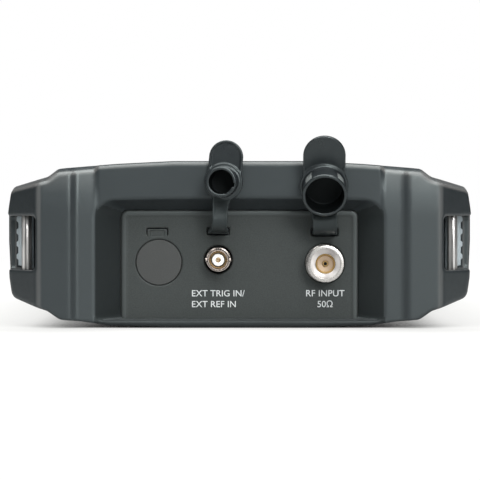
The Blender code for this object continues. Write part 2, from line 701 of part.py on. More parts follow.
def make_fan_frame():
    hub = (0, 0, FAN_Z)
    frame = block("fan_frame", 79.2, 89.2, -15, 15, 17.6, 45.2)
    cut(frame, rod("h_fan_bore", "X", hub, 13.2, 70, 100, 32))
    join(frame, rod("h_fan_stator", "X", hub, 4.6, 79.6, 81.2, 20))
    for k in range(3):
        angle = math.radians(90 + 120 * k)
        arm = block(f"h_fan_arm_{k}", 79.6, 81.0, -0.9, 0.9, 3.0, 13.6)
        arm.data.transform(
            Matrix.Translation((0, 0, FAN_Z * MM)) @ Matrix.Rotation(angle, 4, "X"))
        join(frame, arm)
    finish(frame, FAN)


def make_fan_rotor():
    rotor_x, blades, blade_pitch = 85.0, 7, math.radians(52)
    rotor = rod("fan_rotor", "X", (0, 0, FAN_Z), 5.4, 81.8, 88.2, 24)
    for k in range(blades):
        angle = 2 * math.pi * k / blades
        blade = block(f"h_blade_{k}", -0.45, 0.45, -3.2, 3.2, 4.6, 12.6)
        blade.data.transform(
            Matrix.Translation((rotor_x * MM, 0, FAN_Z * MM))
            @ Matrix.Rotation(angle, 4, "X") @ Matrix.Rotation(blade_pitch, 4, "Z"))
        join(rotor, blade)
    pivot(rotor, (rotor_x, 0, FAN_Z))
    finish(rotor, FAN)


def make_grille(name, x0, x1, opening):
    y, z, width, height = opening
    outline = rounded_rect(y, z, width - 2 * GAP, height - 2 * GAP, VENT_CORNER - GAP, 2)
    grille = prism_yz(name, outline, x0, x1)
    for k in range(GRILLE_SLOTS):
        slot_z = z - height / 2 + 3.0 + (height - 6.0) * k / (GRILLE_SLOTS - 1)
        slot = rounded_rect(y, slot_z, width - 7, 1.7, 0.8, 1)
        cut(grille, prism_yz(f"h_{name}_slot_{k}", slot, x0 - 3, x1 + 3))
    finish(grille, PANEL)


# ---- ports, stand, battery door -----------------------------------------
def make_port_block():
    ports = block("port_block", -91.5, -72, -5, 53, 20.4, 36.8)
    usb_y = 2.5
    for k, z in enumerate((24.6, 32.4)):
        cut(ports, block(f"h_usb_{k}", -100, -76, usb_y - 6.6, usb_y + 6.6, z - 2.9, z + 2.9))
        join(ports, block(f"h_usb_tongue_{k}", -90.5, -75, usb_y - 5.6, usb_y + 5.6,
                          z + 0.2, z + 1.9))
    cut(ports, block("h_lan", -100, -78, 15.0, 27.0, 22.6, 33.6))
    dc_centre = (0, 40.0, 28.6)
    cut(ports, rod("h_dc", "X", dc_centre, 3.3, -100, -80, 20))
    join(ports, rod("h_dc_pin", "X", dc_centre, 1.0, -89.6, -79, 12))
    finish(ports, LCD)


def make_port_door():
    """Rubber door: flat plate whose lower edge is rounded about the fold axis."""
    hinge_x, _, hinge_z = PORT_HINGE
    outline = rounded_rect(PORT_Y, 27.25, PORT_DOOR_LENGTH, 24.1, 1.2, 2)
    door = prism_yz("port_door", outline, -93.95, -92.25)
    cut(door, block("h_door_trim", -100, -80, -20, 70, 10.0, hinge_z))
    join(door, rod("h_door_barrel", "Y", (hinge_x, 0, hinge_z), 0.85,
                   PORT_Y - PORT_DOOR_LENGTH / 2, PORT_Y + PORT_DOOR_LENGTH / 2, 12))
    lip = rounded_rect(PORT_Y, 28.6, 60.6, 17.0, 1.0, 1)
    join(door, prism_yz("h_door_lip", lip, -92.5, -91.8))
    pivot(door, PORT_HINGE)
    finish(door, RUBBER)


def make_stand():
    stand = prism_xy("kickstand", rounded_rect(0, -59.6, 74.0, 72.8, 2.6, 2), 2.0, 4.8)
    cut(stand, block("h_stand_trim", -50, 50, -110, STAND_HINGE[1], 0, 10))
    join(stand, rod("h_stand_barrel", "X", STAND_HINGE, 1.4, -37.0, 37.0, 16))
    join(stand, rod("h_stand_trunnion", "X", STAND_HINGE, 1.2, -39.4, 39.4, 16))
    opening = rounded_rect(0, -64.0, 50.0, 46.0, 5.0, 3)
    cut(stand, prism_xy("h_stand_opening", opening, -5, 12))
    pivot(stand, STAND_HINGE)
    finish(stand, SHELL)


def make_battery_door():
    inner_z = 4.2
    outline = rounded_rect(0, DOOR_Y, DOOR_WIDTH, DOOR_HEIGHT, DOOR_CORNER, 3)
    door = prism_xy("battery_door", outline, BACK_Z, inner_z)
    for k in range(5):
        groove = rounded_rect(0, 27.0 + 3.2 * k, 30.0, 1.4, 0.6, 1)
        cut(door, prism_xy(f"h_door_grip_{k}", groove, 0.0, 2.5))
    cut(door, rod("h_door_counterbore", "Z", DOOR_SCREW, 4.3, 0, 3.5, 20))
    cut(door, rod("h_door_bore", "Z", DOOR_SCREW, DOOR_SCREW_HOLE_RADIUS, 0, 6, 16))
    pivot(door, (0, DOOR_Y, inner_z))
    finish(door, SHELL)


def make_door_screw():
    screw_y, head_z = DOOR_SCREW[1], 1.9
    screw = spin("battery_door_screw", [
        (0, head_z), (3.5, head_z), (4.0, 2.2), (4.0, 3.2), (1.6, 3.2), (1.6, 9.5), (0, 9.5),
    ], DOOR_SCREW, "Z", 20)
    cut(screw, block("h_coin_slot", -5, 5, screw_y - 0.6, screw_y + 0.6, 0.5, 2.6))
    pivot(screw, (0, screw_y, head_z))
    finish(screw, STEEL)


def make_case_screws():
    profile = [
        (0, 14.6), (2.7, 14.6), (3.2, 15.2), (3.2, 17.1), (1.6, 17.1), (1.6, 54.0), (0, 54.0),
    ]
    for i, (x, y) in enumerate(SCREWS):
        screw = spin(f"case_screw_{i + 1}", profile, (x, y, 0), "Z", 12)
        # hexagonal socket
        cut(screw, rod(f"h_case_socket_{i}", "Z", (x, y, 0), 1.2, 10.0, 16.0, 6))
        finish(screw, STEEL)


make_front_shell()
make_rear_shell()
make_top_boot()
make_bottom_boot()
make_connector_panel()
make_rf_connector()
make_bnc_connector()
make_blanks()
make_tether("rf_cap_tether", RF_PLUG, RF_FOLD, strap_inset=0.2)
make_tether("bnc_cap_tether", BNC_PLUG, BNC_FOLD, strap_inset=0.9)
make_caps()
make_strap_bars()
make_display()
make_keys()
make_membrane()
make_knob()
make_inside()
make_fan_frame()
make_fan_rotor()
make_grille("exhaust_grille", 91.2, 93.7, EXHAUST)
make_grille("intake_grille", -93.7, -91.2, INTAKE)
make_port_block()
make_port_door()
make_stand()
make_battery_door()
make_door_screw()
make_case_screws()
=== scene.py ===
"""Looks for the handheld spectrum analyzer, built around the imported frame."""

import math

import bmesh
import bpy
import numpy as np
from mathutils import Matrix, Vector


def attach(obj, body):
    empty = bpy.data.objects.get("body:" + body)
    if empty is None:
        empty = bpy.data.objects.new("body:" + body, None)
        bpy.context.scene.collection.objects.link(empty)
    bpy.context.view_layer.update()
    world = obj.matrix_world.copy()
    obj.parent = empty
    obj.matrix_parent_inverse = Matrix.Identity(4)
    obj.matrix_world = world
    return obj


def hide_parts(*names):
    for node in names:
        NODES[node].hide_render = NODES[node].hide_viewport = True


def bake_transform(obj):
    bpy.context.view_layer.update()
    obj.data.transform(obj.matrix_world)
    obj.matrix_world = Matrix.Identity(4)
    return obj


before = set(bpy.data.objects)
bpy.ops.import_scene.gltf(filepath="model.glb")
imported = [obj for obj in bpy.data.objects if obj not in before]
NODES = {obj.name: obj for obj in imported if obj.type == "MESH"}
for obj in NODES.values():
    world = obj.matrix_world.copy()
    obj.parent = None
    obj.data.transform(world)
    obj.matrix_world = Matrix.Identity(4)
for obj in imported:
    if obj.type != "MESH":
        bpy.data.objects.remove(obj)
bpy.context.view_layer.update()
BODY = "instrument"
MM = 0.001

# ======================================================================
# Shape tools. All lengths below are millimetres.
# ======================================================================


def smax(a, b, k):
    h = np.clip(0.5 + 0.5 * (a - b) / k, 0.0, 1.0)
    return b * (1 - h) + a * h + k * h * (1 - h)


def smin(a, b, k):
    return -smax(-a, -b, k)


def rounded(points):
    """(x, y, r) corners to a polygon whose corners are arcs of radius r."""
    out = []
    n = len(points)
    for i in range(n):
        p, r = Vector(points[i][:2]), points[i][2] if len(points[i]) > 2 else 0.0
        a, b = Vector(points[i - 1][:2]), Vector(points[(i + 1) % n][:2])
        u, v = (a - p), (b - p)
        lu, lv = u.length, v.length
        u, v = u / lu, v / lv
        ang = math.acos(max(-1.0, min(1.0, u.dot(v))))
        if r <= 0 or ang > math.pi - 1e-3:
            out.append((p.x, p.y))
            continue
        t = min(r / math.tan(ang / 2), 0.48 * lu, 0.48 * lv)
        rr = t * math.tan(ang / 2)
        c = p + (u + v).normalized() * (rr / math.sin(ang / 2))
        s, e = p + u * t, p + v * t
        a0, a1 = math.atan2(s.y - c.y, s.x - c.x), math.atan2(e.y - c.y, e.x - c.x)
        d = (a1 - a0 + math.pi) % (2 * math.pi) - math.pi
        k = max(2, int(abs(d) / math.radians(7)))
        for j in range(k + 1):
            q = a0 + d * j / k
            out.append((c.x + rr * math.cos(q), c.y + rr * math.sin(q)))
    return out


class Flat:
    """Signed distance to a closed polygon (negative inside), kept on a grid."""

    def __init__(self, pts, soft=0.0, h=0.25, pad=9.0, grow=0.0):
        p = np.array([q[:2] for q in pts], float)
        self.lo = p.min(0) - pad
        hi = p.max(0) + pad
        self.h = h
        nu, nv = (np.ceil((hi - self.lo) / h).astype(int) + 1)
        u = (self.lo[0] + h * np.arange(nu))[:, None]
        v = (self.lo[1] + h * np.arange(nv))[None, :]
        d2 = np.full((nu, nv), 1e12)
        inside = np.zeros((nu, nv), bool)
        for i in range(len(p)):
            a, b = p[i - 1], p[i]
            e = b - a
            wu, wv = u - a[0], v - a[1]
            t = np.clip((wu * e[0] + wv * e[1]) / max(1e-12, e @ e), 0, 1)
            d2 = np.minimum(d2, (wu - t * e[0]) ** 2 + (wv - t * e[1]) ** 2)
            if a[1] != b[1]:
                cross = (a[1] > v) != (b[1] > v)
                xi = a[0] + (v - a[1]) / (b[1] - a[1]) * e[0]
                inside ^= cross & (u < xi)
        g = np.sqrt(d2)
        g = np.where(inside, -g, g) - grow
        if soft > 0:
            r = int(3 * soft / h) + 1
            k = np.exp(-0.5 * (np.arange(-r, r + 1) * h / soft) ** 2)
            k /= k.sum()
            for ax in (0, 1):
                m = np.pad(g, [(r, r) if q == ax else (0, 0) for q in (0, 1)], mode="edge")
                acc = 0
                for j, w in enumerate(k):
                    sl = [slice(None), slice(None)]
                    sl[ax] = slice(j, j + g.shape[ax])
                    acc = acc + w * m[tuple(sl)]
                g = acc
        self.g = g

    def __call__(self, u, v):
        g = self.g
        fu = np.clip((u - self.lo[0]) / self.h, 0, g.shape[0] - 1.001)
        fv = np.clip((v - self.lo[1]) / self.h, 0, g.shape[1] - 1.001)
        iu, iv = fu.astype(int), fv.astype(int)
        fu, fv = fu - iu, fv - iv
        return (g[iu, iv] * (1 - fu) + g[iu + 1, iv] * fu) * (1 - fv) + (g[iu, iv + 1] * (1 - fu) + g[iu + 1, iv + 1] * fu) * fv


def rbox2(u, v, hu, hv, r):
    """Rounded rectangle, centred."""
    qu, qv = np.abs(u) - (hu - r), np.abs(v) - (hv - r)
    return np.hypot(np.maximum(qu, 0), np.maximum(qv, 0)) + np.minimum(np.maximum(qu, qv), 0) - r


def slab(t, a, b):
    return np.maximum(a - t, t - b)


def net(f, lo, hi, h, steps=4):
    """Surface of f = 0 by surface nets, pulled on to the exact surface. Returns points and quads."""
    lo = np.array(lo, float)
    n = np.ceil((np.array(hi, float) - lo) / h).astype(int) + 1
    ax = [lo[i] + h * np.arange(n[i]) for i in range(3)]
    F = np.broadcast_to(f(ax[0][:, None, None], ax[1][None, :, None], ax[2][None, None, :]), tuple(n)).astype(np.float32)
    S = F < 0
    m = tuple(n - 1)
    count = np.zeros(m, np.int8)
    for i in (0, 1):
        for j in (0, 1):
            for k in (0, 1):
                count += S[i:i + m[0], j:j + m[1], k:k + m[2]]
    mixed = (count > 0) & (count < 8)
    cells = np.argwhere(mixed)
    index = np.full(m, -1, np.int64)
    index[mixed] = np.arange(len(cells))
    acc = np.zeros((len(cells), 3))
    num = np.zeros(len(cells))
    corners = [(i, j, k) for i in (0, 1) for j in (0, 1) for k in (0, 1)]
    for a in corners:
        for d in range(3):
            if a[d]:
                continue
            b = tuple(1 if q == d else a[q] for q in range(3))
            fa = F[cells[:, 0] + a[0], cells[:, 1] + a[1], cells[:, 2] + a[2]]
            fb = F[cells[:, 0] + b[0], cells[:, 1] + b[1], cells[:, 2] + b[2]]
            hit = (fa < 0) != (fb < 0)
            t = np.where(hit, fa / np.where(hit, fa - fb, 1), 0)
            p = np.array(a, float) + np.outer(t, np.eye(3)[d])
            acc += np.where(hit[:, None], p, 0)
            num += hit
    P = lo + h * (cells + acc / num[:, None])
    quads = []
    for d in range(3):
        e1, e2 = (d + 1) % 3, (d + 2) % 3
        sl0 = [slice(0, n[q] - 1) if q == d else slice(1, n[q] - 1) for q in range(3)]
        sl1 = [slice(1, n[q]) if q == d else slice(1, n[q] - 1) for q in range(3)]
        s0, s1 = S[tuple(sl0)], S[tuple(sl1)]
        w = np.argwhere(s0 != s1)
        if not len(w):
            continue
        off = np.array([0 if q == d else 1 for q in range(3)])
        base = w + off
        ring = []
        for (i, j) in ((-1, -1), (0, -1), (0, 0), (-1, 0)):
            c = base.copy()
            c[:, e1] += i
            c[:, e2] += j
            ring.append(index[c[:, 0], c[:, 1], c[:, 2]])
        q = np.stack(ring, 1)
        flip = ~s0[w[:, 0], w[:, 1], w[:, 2]]
        q[flip] = q[flip][:, ::-1]
        quads.append(q)
    Q = np.concatenate(quads)
    e = 0.04
    for _ in range(steps):
        v = f(P[:, 0], P[:, 1], P[:, 2])
        G = np.stack([
            f(P[:, 0] + e, P[:, 1], P[:, 2]) - f(P[:, 0] - e, P[:, 1], P[:, 2]),
            f(P[:, 0], P[:, 1] + e, P[:, 2]) - f(P[:, 0], P[:, 1] - e, P[:, 2]),
            f(P[:, 0], P[:, 1], P[:, 2] + e) - f(P[:, 0], P[:, 1], P[:, 2] - e)], 1) / (2 * e)
        g2 = np.maximum((G * G).sum(1), 0.05)
        step = G * (np.clip(v, -h, h) / g2)[:, None]
        P = P - np.clip(step, -0.6 * h, 0.6 * h)
    return P, Q


def mesh_object(name, P, faces, smooth=True):
    me = bpy.data.meshes.new(name)
    P = np.asarray(P, float) * MM
    if isinstance(faces, np.ndarray):
        me.vertices.add(len(P))
        me.vertices.foreach_set("co", P.ravel())
        k = faces.shape[1]
        me.loops.add(faces.size)
        me.loops.foreach_set("vertex_index", faces.ravel())
        me.polygons.add(len(faces))
        me.polygons.foreach_set("loop_start", np.arange(0, faces.size, k))
        me.update(calc_edges=True)
        me.validate()
    else:
        me.from_pydata([tuple(p) for p in P], [], [list(q) for q in faces])
        me.update()
    ob = bpy.data.objects.new(name, me)
    bpy.context.scene.collection.objects.link(ob)
    if smooth:
        me.shade_smooth()
    return ob


def solid(name, f, lo, hi, h, thin=0.0, steps=4):
    """Object for f < 0. thin > 0 drops points that lie on flat ground."""
    P, Q = net(f, lo, hi, h, steps)
    ob = mesh_object(name, P, Q)
    if thin:
        m = ob.modifiers.new("thin", "DECIMATE")
        m.ratio = thin
        bake(ob)
        ob.data.shade_smooth()
    return ob


def bake(ob):
    """Applies an object's modifiers, so that its mesh is what is shown."""
    dg = bpy.context.evaluated_depsgraph_get()
    me = bpy.data.meshes.new_from_object(ob.evaluated_get(dg), preserve_all_data_layers=False, depsgraph=dg)
    old = ob.data
    if ob.type == "MESH":
        ob.modifiers.clear()
        ob.data = me
        bpy.data.meshes.remove(old)
        return ob
    new = bpy.data.objects.new(ob.name + "_m", me)
    new.matrix_world = ob.matrix_world.copy()
    bpy.context.scene.collection.objects.link(new)
    name = ob.name
    bpy.data.objects.remove(ob)
    new.name = name
    return new


def lathe(name, profile, centre, axis="Y", seg=96, closed=True, soft=0.0, angle=38.0):
    """A (radius, position) profile turned about an axis. Corners are rounded first when soft > 0."""
    prof = [p[:2] for p in profile]
    if soft:
        prof = rounded([(p[0], p[1], p[2] if len(p) > 2 else (soft if p[0] > 1e-6 else 0)) for p in profile])
    n = len(prof)
    verts, faces = [], []
    rows = []
    for r, a in prof:
        row = []
        if r < 1e-6:
            verts.append((0.0, a))
            row = [len(verts) - 1] * seg
            verts[-1] = place_axis(0, a, 0, centre, axis)
        else:
            for k in range(seg):
                t = 2 * math.pi * k / seg
                verts.append(place_axis(r, a, t, centre, axis))
                row.append(len(verts) - 1)
        rows.append(row)
    last = n if closed else n - 1
    for i in range(last):
        A, B = rows[i], rows[(i + 1) % n]
        if A[0] == A[-1] and B[0] == B[-1]:
            continue
        for k in range(seg):
            j = (k + 1) % seg
            q = [A[k], A[j], B[j], B[k]]
            q = [v for m, v in enumerate(q) if v not in q[:m]]
            if len(q) > 2:
                faces.append(q)
    ob = mesh_object(name, verts, faces)
    fix_normals(ob)
    ob.data.set_sharp_from_angle(angle=math.radians(angle))
    return ob


def place_axis(r, a, t, c, axis):
    x, y = r * math.cos(t), r * math.sin(t)
    if axis == "Y":
        return (c[0] + x, a, c[2] + y)
    if axis == "Z":
        return (c[0] + x, c[1] + y, a)
    return (a, c[1] + x, c[2] + y)


def fix_normals(ob):
    bm = bmesh.new()
    bm.from_mesh(ob.data)
    bmesh.ops.recalc_face_normals(bm, faces=bm.faces)
    bm.to_mesh(ob.data)
    bm.free()


def plate(name, loops, z0, z1, bevel=0.2, seg=3, basis=None):
    """Flat plate with holes from closed polygons (outer first), bevelled on both faces.
    basis maps the polygon's plane to space: (origin, u, v, w), w being the thickness direction."""
    cu = bpy.data.curves.new(name, "CURVE")
    cu.dimensions = "2D"
    cu.fill_mode = "BOTH"
    for pts in loops:
        sp = cu.splines.new("POLY")
        sp.points.add(len(pts) - 1)
        for i, p in enumerate(pts):
            sp.points[i].co = (p[0] * MM, p[1] * MM, 0, 1)
        sp.use_cyclic_u = True
    t = (z1 - z0) * MM
    cu.bevel_depth = bevel * MM
    cu.bevel_resolution = seg
    cu.extrude = max(0.0, t / 2 - bevel * MM)
    cu.offset = -bevel * MM
    ob = bpy.data.objects.new(name, cu)
    bpy.context.scene.collection.objects.link(ob)
    bpy.context.view_layer.update()
    ob = bake(ob)
    ob.data.transform(Matrix.Translation((0, 0, (z0 + z1) / 2 * MM)))
    if basis:
        o, u, v, w = (Vector(q) for q in basis)
        m = Matrix(((u.x, v.x, w.x, o.x * MM), (u.y, v.y, w.y, o.y * MM), (u.z, v.z, w.z, o.z * MM), (0, 0, 0, 1)))
        ob.data.transform(m)
    clean(ob)
    ob.data.shade_smooth()
    ob.data.set_sharp_from_angle(angle=math.radians(50))
    return ob


def clean(ob, dist=1e-6):
    bm = bmesh.new()
    bm.from_mesh(ob.data)
    bmesh.ops.remove_doubles(bm, verts=bm.verts, dist=dist)
    bmesh.ops.dissolve_degenerate(bm, edges=bm.edges, dist=1e-7)
    bmesh.ops.recalc_face_normals(bm, faces=bm.faces)
    bm.to_mesh(ob.data)
    bm.free()


def ring2(cx, cy, r, seg=64):
    return [(cx + r * math.cos(2 * math.pi * k / seg), cy + r * math.sin(2 * math.pi * k / seg)) for k in range(seg)]


def rrect(cx, cy, w, h, r, seg=6):
    pts = []
    for sx, sy, a0 in ((1, 1, 0), (-1, 1, 90), (-1, -1, 180), (1, -1, 270)):
        for k in range(seg + 1):
            t = math.radians(a0 + 90.0 * k / seg)
            pts.append((cx + sx * (w / 2 - r) + r * math.cos(t), cy + sy * (h / 2 - r) + r * math.sin(t)))
    return pts


XZ_FRONT = lambda y: ((0, y, 0), (1, 0, 0), (0, 0, 1), (0, -1, 0))  # faces -Y, seen with +X to the right


def text(name, body, size, at, basis, mat, align="LEFT", thick=0.06, space=1.0, bold=0.0, font=None):
    cu = bpy.data.curves.new(name, "FONT")
    cu.body = body
    cu.size = size * MM
    cu.align_x = align
    cu.extrude = thick / 2 * MM
    cu.space_character = space
    cu.offset = bold * MM
    cu.resolution_u = 5
    ob = bpy.data.objects.new(name, cu)
    bpy.context.scene.collection.objects.link(ob)
    bpy.context.view_layer.update()
    ob = bake(ob)
    o, u, v, w = (Vector(q) for q in basis)
    a = Vector(at)
    m = Matrix(((u.x, v.x, w.x, a.x * MM), (u.y, v.y, w.y, a.y * MM), (u.z, v.z, w.z, a.z * MM), (0, 0, 0, 1)))
    ob.data.transform(m)
    clean(ob)
    ob.data.shade_flat()
    ob.data.materials.clear()
    ob.data.materials.append(mat)
    return ob


def merge(name, obs):
    """Several meshes made into one piece."""
    bm = bmesh.new()
    mats = []
    for o in obs:
        for m in o.data.materials:
            if m not in mats:
                mats.append(m)
    for o in obs:
        start = len(bm.faces)
        idx = [mats.index(m) for m in o.data.materials]
        bm.from_mesh(o.data)
        bm.faces.ensure_lookup_table()
        for f in bm.faces[start:]:
            f.material_index = idx[f.material_index] if idx and f.material_index < len(idx) else 0
    me = bpy.data.meshes.new(name)
    bm.to_mesh(me)
    bm.free()
    for m in mats:
        me.materials.append(m)
    for o in obs:
        bpy.data.objects.remove(o)
    ob = bpy.data.objects.new(name, me)
    bpy.context.scene.collection.objects.link(ob)
    return ob


def dress(ob, mat, body=BODY, stands_for=()):
    if mat is not None:
        ob.data.materials.clear()
        ob.data.materials.append(mat)
    if body:
        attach(ob, body)
    if stands_for:
        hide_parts(*stands_for)
    return ob


# ======================================================================
# Materials
# ======================================================================


class Nodes:
    def __init__(self, name):
        self.m = bpy.data.materials.new(name)
        self.m.use_nodes = True
        self.t = self.m.node_tree
        self.p = self.t.nodes["Principled BSDF"]
        self.geo = self.t.nodes.new("ShaderNodeTexCoord")

    def node(self, kind, **k):
        n = self.t.nodes.new(kind)
        for a, b in k.items():
            setattr(n, a, b)
        return n

    def link(self, a, b):
        self.t.links.new(a, b)

    def noise(self, scale_mm, detail=2.0, rough=0.5, stretch=(1, 1, 1)):
        mp = self.node("ShaderNodeMapping")
        mp.inputs["Scale"].default_value = tuple(s / (scale_mm * MM) for s in stretch)
        self.link(self.geo.outputs["Object"], mp.inputs["Vector"])
        n = self.node("ShaderNodeTexNoise")
        n.inputs["Scale"].default_value = 1.0
        n.inputs["Detail"].default_value = detail
        n.inputs["Roughness"].default_value = rough
        self.link(mp.outputs[0], n.inputs["Vector"])
        return n.outputs["Fac"]

    def ramp(self, src, a, b, lo=0.0, hi=1.0):
        r = self.node("ShaderNodeMapRange")
        r.inputs["From Min"].default_value = a
        r.inputs["From Max"].default_value = b
        r.inputs["To Min"].default_value = lo
        r.inputs["To Max"].default_value = hi
        self.link(src, r.inputs["Value"])
        return r.outputs[0]

    def mix(self, fac, a, b, kind="MIX"):
        n = self.node("ShaderNodeMix", data_type="RGBA", blend_type=kind)
        for sock, val in ((n.inputs[0], fac), (n.inputs[6], a), (n.inputs[7], b)):
            if isinstance(val, (int, float)):
                sock.default_value = val
            elif isinstance(val, tuple):
                sock.default_value = (*val[:3], 1.0)
            else:
                self.link(val, sock)
        return n.outputs[2]

    def math(self, op, a, b=0.0):
        n = self.node("ShaderNodeMath", operation=op)
        for sock, val in ((n.inputs[0], a), (n.inputs[1], b)):
            if isinstance(val, (int, float)):
                sock.default_value = val
            else:
                self.link(val, sock)
        return n.outputs[0]

    def bump(self, height, strength, dist_mm, prev=None):
        b = self.node("ShaderNodeBump")
        b.inputs["Strength"].default_value = strength
        b.inputs["Distance"].default_value = dist_mm * MM
        self.link(height, b.inputs["Height"])
        if prev is not None:
            self.link(prev, b.inputs["Normal"])
        return b.outputs[0]

    def set(self, **k):
        for a, b in k.items():
            s = self.p.inputs[a.replace("_", " ")]
            if isinstance(b, (int, float)):
                s.default_value = b
            elif isinstance(b, tuple):
                s.default_value = (*b[:3], 1.0)
            else:
                self.link(b, s)
        return self


def moulded(name, rgb, rough, grain=0.35, grain_strength=0.25, speckle=0.10, spec=0.5, mottle=0.06, coat=0.0):
    """Moulded plastic or rubber: fine grain, a faint mottle, slightly uneven gloss."""
    n = Nodes(name)
    fine = n.noise(grain, 2.0, 0.6)
    mid = n.noise(grain * 7, 3.0, 0.5)
    wide = n.noise(38.0, 2.0, 0.5)
    dark = tuple(c * (1 - speckle) for c in rgb)
    light = tuple(min(1, c * (1 + speckle)) for c in rgb)
    col = n.mix(n.ramp(fine, 0.3, 0.7), dark, light)
    col = n.mix(n.ramp(wide, 0.35, 0.65, 0.0, mottle * 4), col, tuple(c * 1.25 for c in rgb))
    r = n.math("ADD", n.ramp(mid, 0.3, 0.7, rough - 0.04, rough + 0.04), n.ramp(wide, 0.3, 0.7, -0.02, 0.02))
    b = n.bump(mid, grain_strength * 0.35, grain * 0.30)
    b = n.bump(fine, grain_strength, grain * 0.12, b)
    n.set(Base_Color=col, Roughness=r, Normal=b, Specular_IOR_Level=spec, Specular_Tint=(0.88, 1.0, 0.99))
    if coat:
        n.set(Coat_Weight=coat, Coat_Roughness=0.25)
    return n.m


def metal(name, rgb, rough, streak=(1, 1, 1), streak_mm=0.25, tint=0.06, bump=0.05):
    n = Nodes(name)
    s = n.noise(streak_mm, 3.0, 0.6, streak)
    w = n.noise(6.0, 2.0, 0.5)
    col = n.mix(n.ramp(s, 0.3, 0.7), tuple(c * (1 - tint) for c in rgb), rgb)
    col = n.mix(n.ramp(w, 0.4, 0.7, 0, 0.35), col, tuple(c * (1 - tint * 1.6) for c in rgb))
    n.set(Base_Color=col, Metallic=1.0, Roughness=n.ramp(s, 0.2, 0.8, rough * 0.75, rough * 1.35), Normal=n.bump(s, bump, 0.01))
    return n.m


def lit(name, rgb, strength):
    """Something that glows a little: display lines, a status light."""
    n = Nodes(name)
    f = n.noise(0.8, 2.0, 0.5)
    col = n.mix(n.ramp(f, 0.3, 0.7), tuple(c * 0.92 for c in rgb), rgb)
    n.set(Base_Color=col, Roughness=0.35, Specular_IOR_Level=0.2, Emission_Color=col, Emission_Strength=n.ramp(f, 0.3, 0.7, strength * 0.95, strength * 1.05))
    return n.m


def soft_metal(name, rgb, rough):
    n = Nodes(name)
    s = n.noise(0.5, 3.0, 0.6)
    col = n.mix(n.ramp(s, 0.3, 0.7), tuple(c * 0.9 for c in rgb), rgb)
    n.set(Base_Color=col, Metallic=0.6, Roughness=n.ramp(s, 0.2, 0.8, rough * 0.85, rough * 1.15), Normal=n.bump(s, 0.03, 0.01))
    return n.m


def brushed_face():
    """Turned nickel face with painted reflections: soft light and dark sectors that run out from the middle."""
    n = Nodes("nickel_turned_face")
    mp = n.node("ShaderNodeMapping")
    mp.inputs["Location"].default_value = (-RF_X * MM, 0.0, -RF_Z * MM)
    n.link(n.geo.outputs["Object"], mp.inputs["Vector"])
    sep = n.node("ShaderNodeSeparateXYZ")
    n.link(mp.outputs[0], sep.inputs[0])
    ang = n.math("ARCTAN2", sep.outputs[2], sep.outputs[0])
    # painted reflection: light and dark sectors by the angle round the connector
    w = n.math("MULTIPLY", n.math("ADD", n.math("SINE", n.math("ADD", n.math("MULTIPLY", ang, 2.0), 2.4)), n.math("MULTIPLY", n.math("SINE", n.math("MULTIPLY", ang, 5.0)), 0.45)), 0.5)
    fine = n.noise(0.7, 3.0, 0.6)
    col = n.mix(n.ramp(w, -0.55, 0.6), (0.28, 0.265, 0.255), (0.58, 0.56, 0.54))
    col = n.mix(n.ramp(fine, 0.35, 0.7, 0.0, 0.35), col, (0.45, 0.41, 0.38))
    n.set(Base_Color=col, Metallic=0.55, Roughness=0.33, Normal=n.bump(fine, 0.02, 0.01))
    return n.m


RF_X, RF_Z = 36.2, 26.8


def polished_bar():
    """Polished round bar with painted reflections: soft light and dark bands along its length, which follow its
    curvature.
    """
    n = Nodes("polished_steel")
    sep = n.node("ShaderNodeSeparateXYZ")
    nrm = n.node("ShaderNodeNewGeometry")
    n.link(nrm.outputs["Normal"], sep.inputs[0])
    # painted reflection: base colour set by how far the surface turns sideways
    r = n.node("ShaderNodeValToRGB")
    n.link(n.ramp(sep.outputs[0], -1.0, 1.0), r.inputs[0])
    stops = [(0.0, 0.10), (0.10, 0.35), (0.19, 0.66), (0.33, 0.42), (0.42, 0.09), (0.50, 0.20), (0.60, 0.72), (0.70, 0.55), (0.78, 0.14), (0.84, 0.16), (0.92, 0.34), (1.0, 0.30)]
    e = r.color_ramp.elements
    while len(e) > 1:
        e.remove(e[-1])
    e[0].position, e[0].color = stops[0][0], (stops[0][1],) * 3 + (1,)
    for p, v in stops[1:]:
        q = e.new(p)
        q.color = (v, v * 0.985, v * 0.955, 1)
    fine = n.noise(0.4, 3.0, 0.6, (1, 1, 0.05))
    n.set(Base_Color=r.outputs[0], Metallic=0.55, Roughness=n.ramp(fine, 0.2, 0.8, 0.26, 0.34), Normal=n.bump(fine, 0.006, 0.01))
    return n.m


